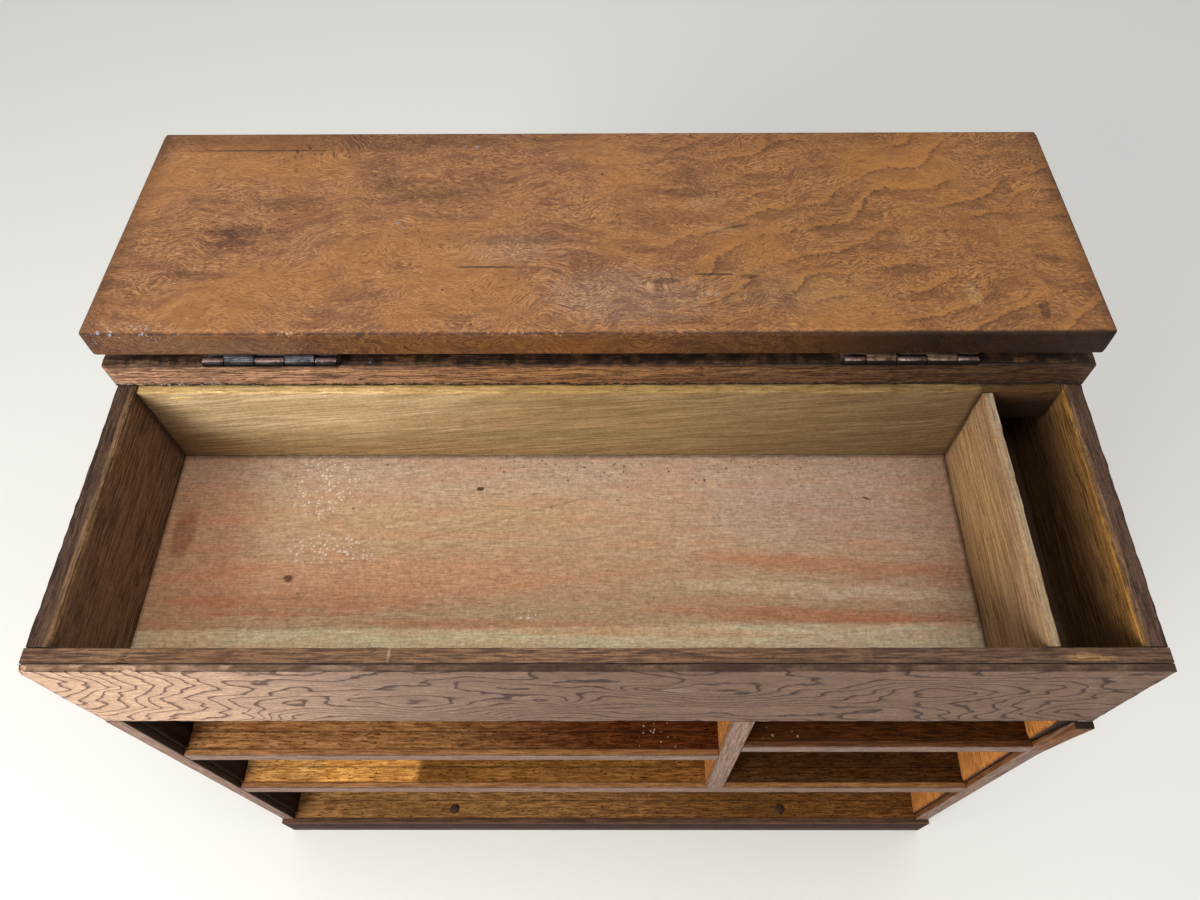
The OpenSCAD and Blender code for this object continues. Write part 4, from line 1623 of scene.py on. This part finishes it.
    def _facing(self) -> None:
        """Shapes and dresses the figured facing."""
        low, high = corners("tray_facing")
        y, middle, top = low.y, (low.z + high.z) / 2, high.z
        wood = Timber(
            "facing_wood", pale=tint(168, 140, 120), dark=tint(130, 103, 87), width=0.5, length=7, waver=6,
            contrast=1.5, pore=0.3, hair=0.4, fuzz=1.5, cloud=0.35, cloud_colour=tint(126, 103, 88),
            arris=0.8, arris_width=0.7, arris_colour=tint(62, 46, 42),
            patches=(
                # Painted light and shade: the figured face is darker towards the right and paler on the left,
                # as the light falls off across it.
                wash((0, y, middle), (WIDE, 4, 60), tint(106, 79, 62), 0.85, (-120, 10)),
                wash((0, y, middle), (WIDE, 4, 60), tint(206, 168, 138), 0.75, (-50, -130)),
                band((0, high.y - 0.8, top), (WIDE, 1.9, 0.3), tint(84, 63, 47), soft=0.2, rag=0.5),
                Patch((22, y, 213.5), (5, 2, 1.6), tint(178, 160, 150), 0.6, soft=1, rag=2.5, grit=0.4),
                Patch((39, y, 211), (2.2, 2, 1.6), tint(58, 40, 34), 0.8, soft=0.8, rag=1.2, grit=0.4),
            ),
        )
        rings = (
            Ring(-50, 198, 30, 13, 7.5),
            Ring(-14, 204.6, 11, 7, 6.5),
            Ring(11, 214.5, 7, 4.5, 4),
            Ring(35, 209, 20, 9, 8),
            Ring(-150, 205, 42, 60, 28),
            Ring(-104, 186, 14, 12, 6),
            Ring(96, 214, 24, 9, -6),
            Ring(150, 188, 44, 26, 16),
        )
        bites = (Bite((low.x, y, top), (1, 1, 1)), Bite((-118, y, top), (2.6, 0.7, 0.7)))
        board = WornBoard("tray_facing", "facing_wood", arris=0.2, wear=0.25, bites=bites)
        board.build(FiguredFinish(wood, rings, line_colour=tint(70, 46, 38), front=y).build(board.node))

    def _strips(self) -> None:
        """Dresses the thin strips on the front edges of the shelves, the upright and the sides."""
        low, high = corners("left_side_strip")
        face = band((0, low.y, 100), (WIDE, 0.3, WIDE), tint(130, 104, 90), soft=0.12, rag=0.1)
        shadow = band((high.x, 0, 100), (0.4, WIDE, WIDE), tint(30, 16, 10), 0.95, soft=0.2, rag=0.2,
                      flat=True)
        black = band((141.5, high.y, self.front_z), (6, 9, 0.7), tint(22, 17, 14), 0.9, soft=0.2, rag=1.4,
                     grit=0.5, flat=True)
        gold = Timber("strip", pale=tint(172, 122, 76), dark=tint(112, 72, 38), length=9, width=0.6,
                      contrast=1.5, pore=0.4, cloud_colour=tint(128, 84, 50), gloss=0.12, arris=0.6,
                      arris_width=0.45, arris_colour=tint(50, 30, 20), patches=(face,))
        brown = replace(gold, pale=tint(108, 66, 36), dark=tint(62, 34, 16), cloud_colour=tint(76, 44, 24))
        upright = replace(gold, grain=Grain.Z)
        amber = replace(upright, pale=tint(140, 90, 52), dark=tint(86, 52, 28), cloud_colour=tint(96, 58, 30))
        self._plain(gold, ("left_shelf_strip", "lower_shelf_strip"), self.strip_arris)
        self._plain(brown, ("right_shelf_strip",), self.strip_arris)
        self._plain(replace(upright, patches=(face, shadow)), ("left_side_strip",), 0.3)
        self._plain(upright, ("upright_strip",), 0.3)
        self._plain(replace(amber, patches=(face, black)), ("right_side_strip",), 0.3)

    def _bays(self) -> None:
        """Dresses the shelves, the upright, the lowest floor and its pegs."""
        left, right, lower, lowest = (corners(f"{name}_panel")[1].z for name in (
            "left_shelf", "right_shelf", "lower_shelf", "bottom"))
        wood = Timber("shelf", pale=tint(176, 126, 80), dark=tint(112, 72, 38), length=7, width=0.8,
                      contrast=1.9, hair=0.7, pore=0.9, pore_colour=tint(54, 28, 12), gloss=0.02,
                      roughness=0.8, bump=0.5, arris_width=0.5, arris_colour=tint(52, 30, 16))
        shelves = {
            "left_shelf": replace(
                wood, cloud_colour=tint(120, 70, 40),
                patches=(wash((0, 0, left), (WIDE, WIDE, 3), tint(84, 40, 15), 0.95, (-80, 10)),),
                dots=(Dots((18, -80, left), (6, 8, 3), tint(214, 186, 156), cell=1.2, spot=0.4),)),
            "lower_shelf": replace(
                wood, pale=tint(240, 182, 108), dark=tint(168, 114, 54), cloud_colour=tint(140, 90, 44),
                patches=(
                    band((-90, -76, lower), (19, 10, 3), tint(226, 162, 84), soft=1.5, rag=2),
                    wash((0, 0, lower), (WIDE, WIDE, 3), tint(126, 82, 38), 0.9, (-73.5, -70)),
                    band((110, 0, lower), (64, WIDE, 3), tint(104, 72, 44), 0.9, soft=1, rag=1),
                )),
            "bottom": replace(
                wood, pale=tint(166, 120, 72), dark=tint(104, 70, 38), cloud_colour=tint(120, 84, 46),
                patches=(wash((0, 0, lowest), (WIDE, WIDE, 3), tint(108, 70, 34), 0.9, (-20, 60)),)),
            "right_shelf": replace(
                wood, pale=tint(88, 48, 20), dark=tint(44, 22, 8), cloud_colour=tint(52, 27, 10),
                dots=(Dots((62, -80, right), (10, 5, 3), tint(176, 150, 128), cell=1.6, spot=0.4,
                           share=0.3),)),
        }
        for name, finish in shelves.items():
            self._plain(finish, (f"{name}_rail", f"{name}_panel"), self.arris)
        upright = replace(wood, name="upright", pale=tint(196, 132, 74), dark=tint(140, 86, 42),
                          cloud_colour=tint(150, 92, 48), grain=Grain.Y)
        self._plain(upright, ("bay_upright",), self.arris)
        pegs = Timber("peg", pale=tint(62, 38, 26), dark=tint(30, 18, 12), grain=Grain.Z, width=0.4, length=3,
                      arris=0.0)
        self._plain(pegs, ("rail_pegs",), 0.2)

    def _plinth(self) -> None:
        """Dresses the plinth, with its dark lip and a paler band along its foot."""
        top = corners("plinth_front_board")[1].z
        wood = Timber(
            "plinth", pale=tint(68, 46, 33), dark=tint(36, 24, 17), length=14, width=0.7,
            cloud_colour=tint(50, 37, 30), gloss=0.1, roughness=0.8, arris=0.6, arris_width=0.9,
            arris_colour=tint(108, 80, 64),
            patches=(
                band((0, 0, 2), (WIDE, WIDE, 3), tint(92, 72, 54), 0.8, soft=1, rag=2),
                band((0, 0, top), (WIDE, WIDE, 0.3), tint(84, 58, 44), soft=0.2, rag=0.2),
            ),
        )
        self._plain(wood, ("plinth_front_board", "plinth_rear_board"), self.plinth_arris)
        across = replace(wood, grain=Grain.Y)
        self._plain(across, ("plinth_left_board", "plinth_right_board"), self.plinth_arris)


@dataclass
class Hinges:
    """The two hinges and their screws. Its size is in mm."""

    arris: float = 0.15

    def build(self) -> None:
        """Dresses the hinges."""
        leaves = {
            "left_hinge_case_leaf": MetalFinish("hinge_rosy", tint(178, 148, 138), tint(122, 98, 92)),
            "left_hinge_lid_leaf": MetalFinish("hinge_blue", tint(116, 116, 122), tint(66, 64, 68)),
            "right_hinge_case_leaf": MetalFinish("hinge_umber", tint(156, 130, 122), tint(88, 70, 64)),
            "right_hinge_lid_leaf": MetalFinish("hinge_brass", tint(134, 110, 84), tint(78, 62, 54)),
        }
        for node, finish in leaves.items():
            paint(node, finish.build())
            soften(node, self.arris, 2)
        pins = MetalFinish("pin_metal", tint(96, 88, 84), tint(40, 36, 36)).build()
        screws = MetalFinish("screw_metal", tint(150, 132, 104), tint(74, 60, 48))
        for side in ("left", "right"):
            paint(f"{side}_hinge_pin", pins)
        for part in ("case", "lid"):
            paint(f"hinge_{part}_screws", screws.build())


@dataclass
class Studio:
    """The floor, the lights and the camera. The camera's place is in mm and its turns in degrees."""

    focal_pixels: float = 897.82
    frame_width: float = 1200.0
    frame_height: float = 900.0
    sensor: float = 36.0
    pitch: float = -58.682
    yaw: float = -0.575
    roll: float = -0.582
    place: Triple = (5.75, -157.63, 447.87)
    centre_x: float = 612.52
    centre_y: float = 456.03

    def build(self) -> None:
        """Makes the floor, the lights and the camera."""
        self._camera()
        self._floor()
        self._lamp("key", (-0.48, -0.6, 0.55), (-0.02, 0, 0.12), 0.4, 6.6, (1.0, 0.985, 0.96))
        self._lamp("top", (0.15, -0.1, 1.4), (0, 0, 0.15), 1.2, 9.0, (1.0, 0.995, 0.99))
        self._world()
        bpy.context.scene.view_settings.view_transform = "Standard"

    def _camera(self) -> None:
        """Makes the camera at the photograph's viewing angle."""
        data = bpy.data.cameras.new("camera")
        data.sensor_width = self.sensor
        data.lens = self.focal_pixels * self.sensor / self.frame_width
        data.shift_x = (self.frame_width / 2 - self.centre_x) / self.frame_width
        data.shift_y = (self.centre_y - self.frame_height / 2) / self.frame_width
        data.clip_start = 0.01
        pitch, yaw, roll = (math.radians(a) for a in (self.pitch, self.yaw, self.roll))
        ahead = Vector((math.sin(yaw) * math.cos(pitch), math.cos(yaw) * math.cos(pitch), math.sin(pitch)))
        right = Vector((math.cos(yaw), -math.sin(yaw), 0))
        up = right.cross(ahead)
        level, lean = math.cos(roll), math.sin(roll)
        axes = (level * right + lean * up, level * up - lean * right, -ahead)
        turn = Matrix(axes).transposed().to_4x4()
        camera = bpy.data.objects.new("camera", data)
        camera.matrix_world = Matrix.Translation(Vector(self.place) * MM) @ turn
        bpy.context.scene.collection.objects.link(camera)
        bpy.context.scene.camera = camera

    def _floor(self) -> None:
        """Makes the pale floor."""
        bpy.ops.object.select_all(action="DESELECT")
        bpy.ops.mesh.primitive_plane_add(size=12, location=(0, 0, 0))
        floor = bpy.context.object
        floor.name = "floor"
        material = bpy.data.materials.new("floor")
        material.use_nodes = True
        shader = material.node_tree.nodes["Principled BSDF"]
        shader.inputs["Base Color"].default_value = tint(226, 224, 219)
        shader.inputs["Roughness"].default_value = 0.6
        floor.data.materials.append(material)

    def _lamp(self, name: str, place: Triple, aim: Triple, size: float, power: float, colour: Triple) -> None:
        """Makes one square soft lamp.

        Args:
            name: Name of the lamp.
            place: Where it is, in metres.
            aim: What it points at, in metres.
            size: Its side in metres.
            power: Its power in watts.
            colour: Its colour.
        """
        data = bpy.data.lights.new(name, "AREA")
        data.size = size
        data.energy = power
        data.color = colour
        lamp = bpy.data.objects.new(name, data)
        lamp.location = place
        lamp.rotation_euler = (Vector(aim) - Vector(place)).to_track_quat("-Z", "Y").to_euler()
        bpy.context.scene.collection.objects.link(lamp)

    def _world(self) -> None:
        """Makes the even light from all sides."""
        world = bpy.data.worlds.new("studio")
        world.use_nodes = True
        world.node_tree.nodes.clear()
        bench = Bench(world.node_tree)
        sky = bench.add("ShaderNodeBackground")
        sky.inputs["Color"].default_value = (0.98, 0.99, 1.0, 1)
        sky.inputs["Strength"].default_value = 0.5
        out = bench.add("ShaderNodeOutputWorld")
        bench.put(Signal(bench, sky.outputs[0]), out.inputs["Surface"])
        bpy.context.scene.world = world


def main() -> None:
    """Builds the dressed sewing box."""
    logging.basicConfig(level=logging.INFO, format="%(message)s")
    for part in (Lid(), Case(), Hinges(), Studio()):
        part.build()
        LOG.info("built %s", type(part).__name__)


if __name__ == "__main__":
    main()
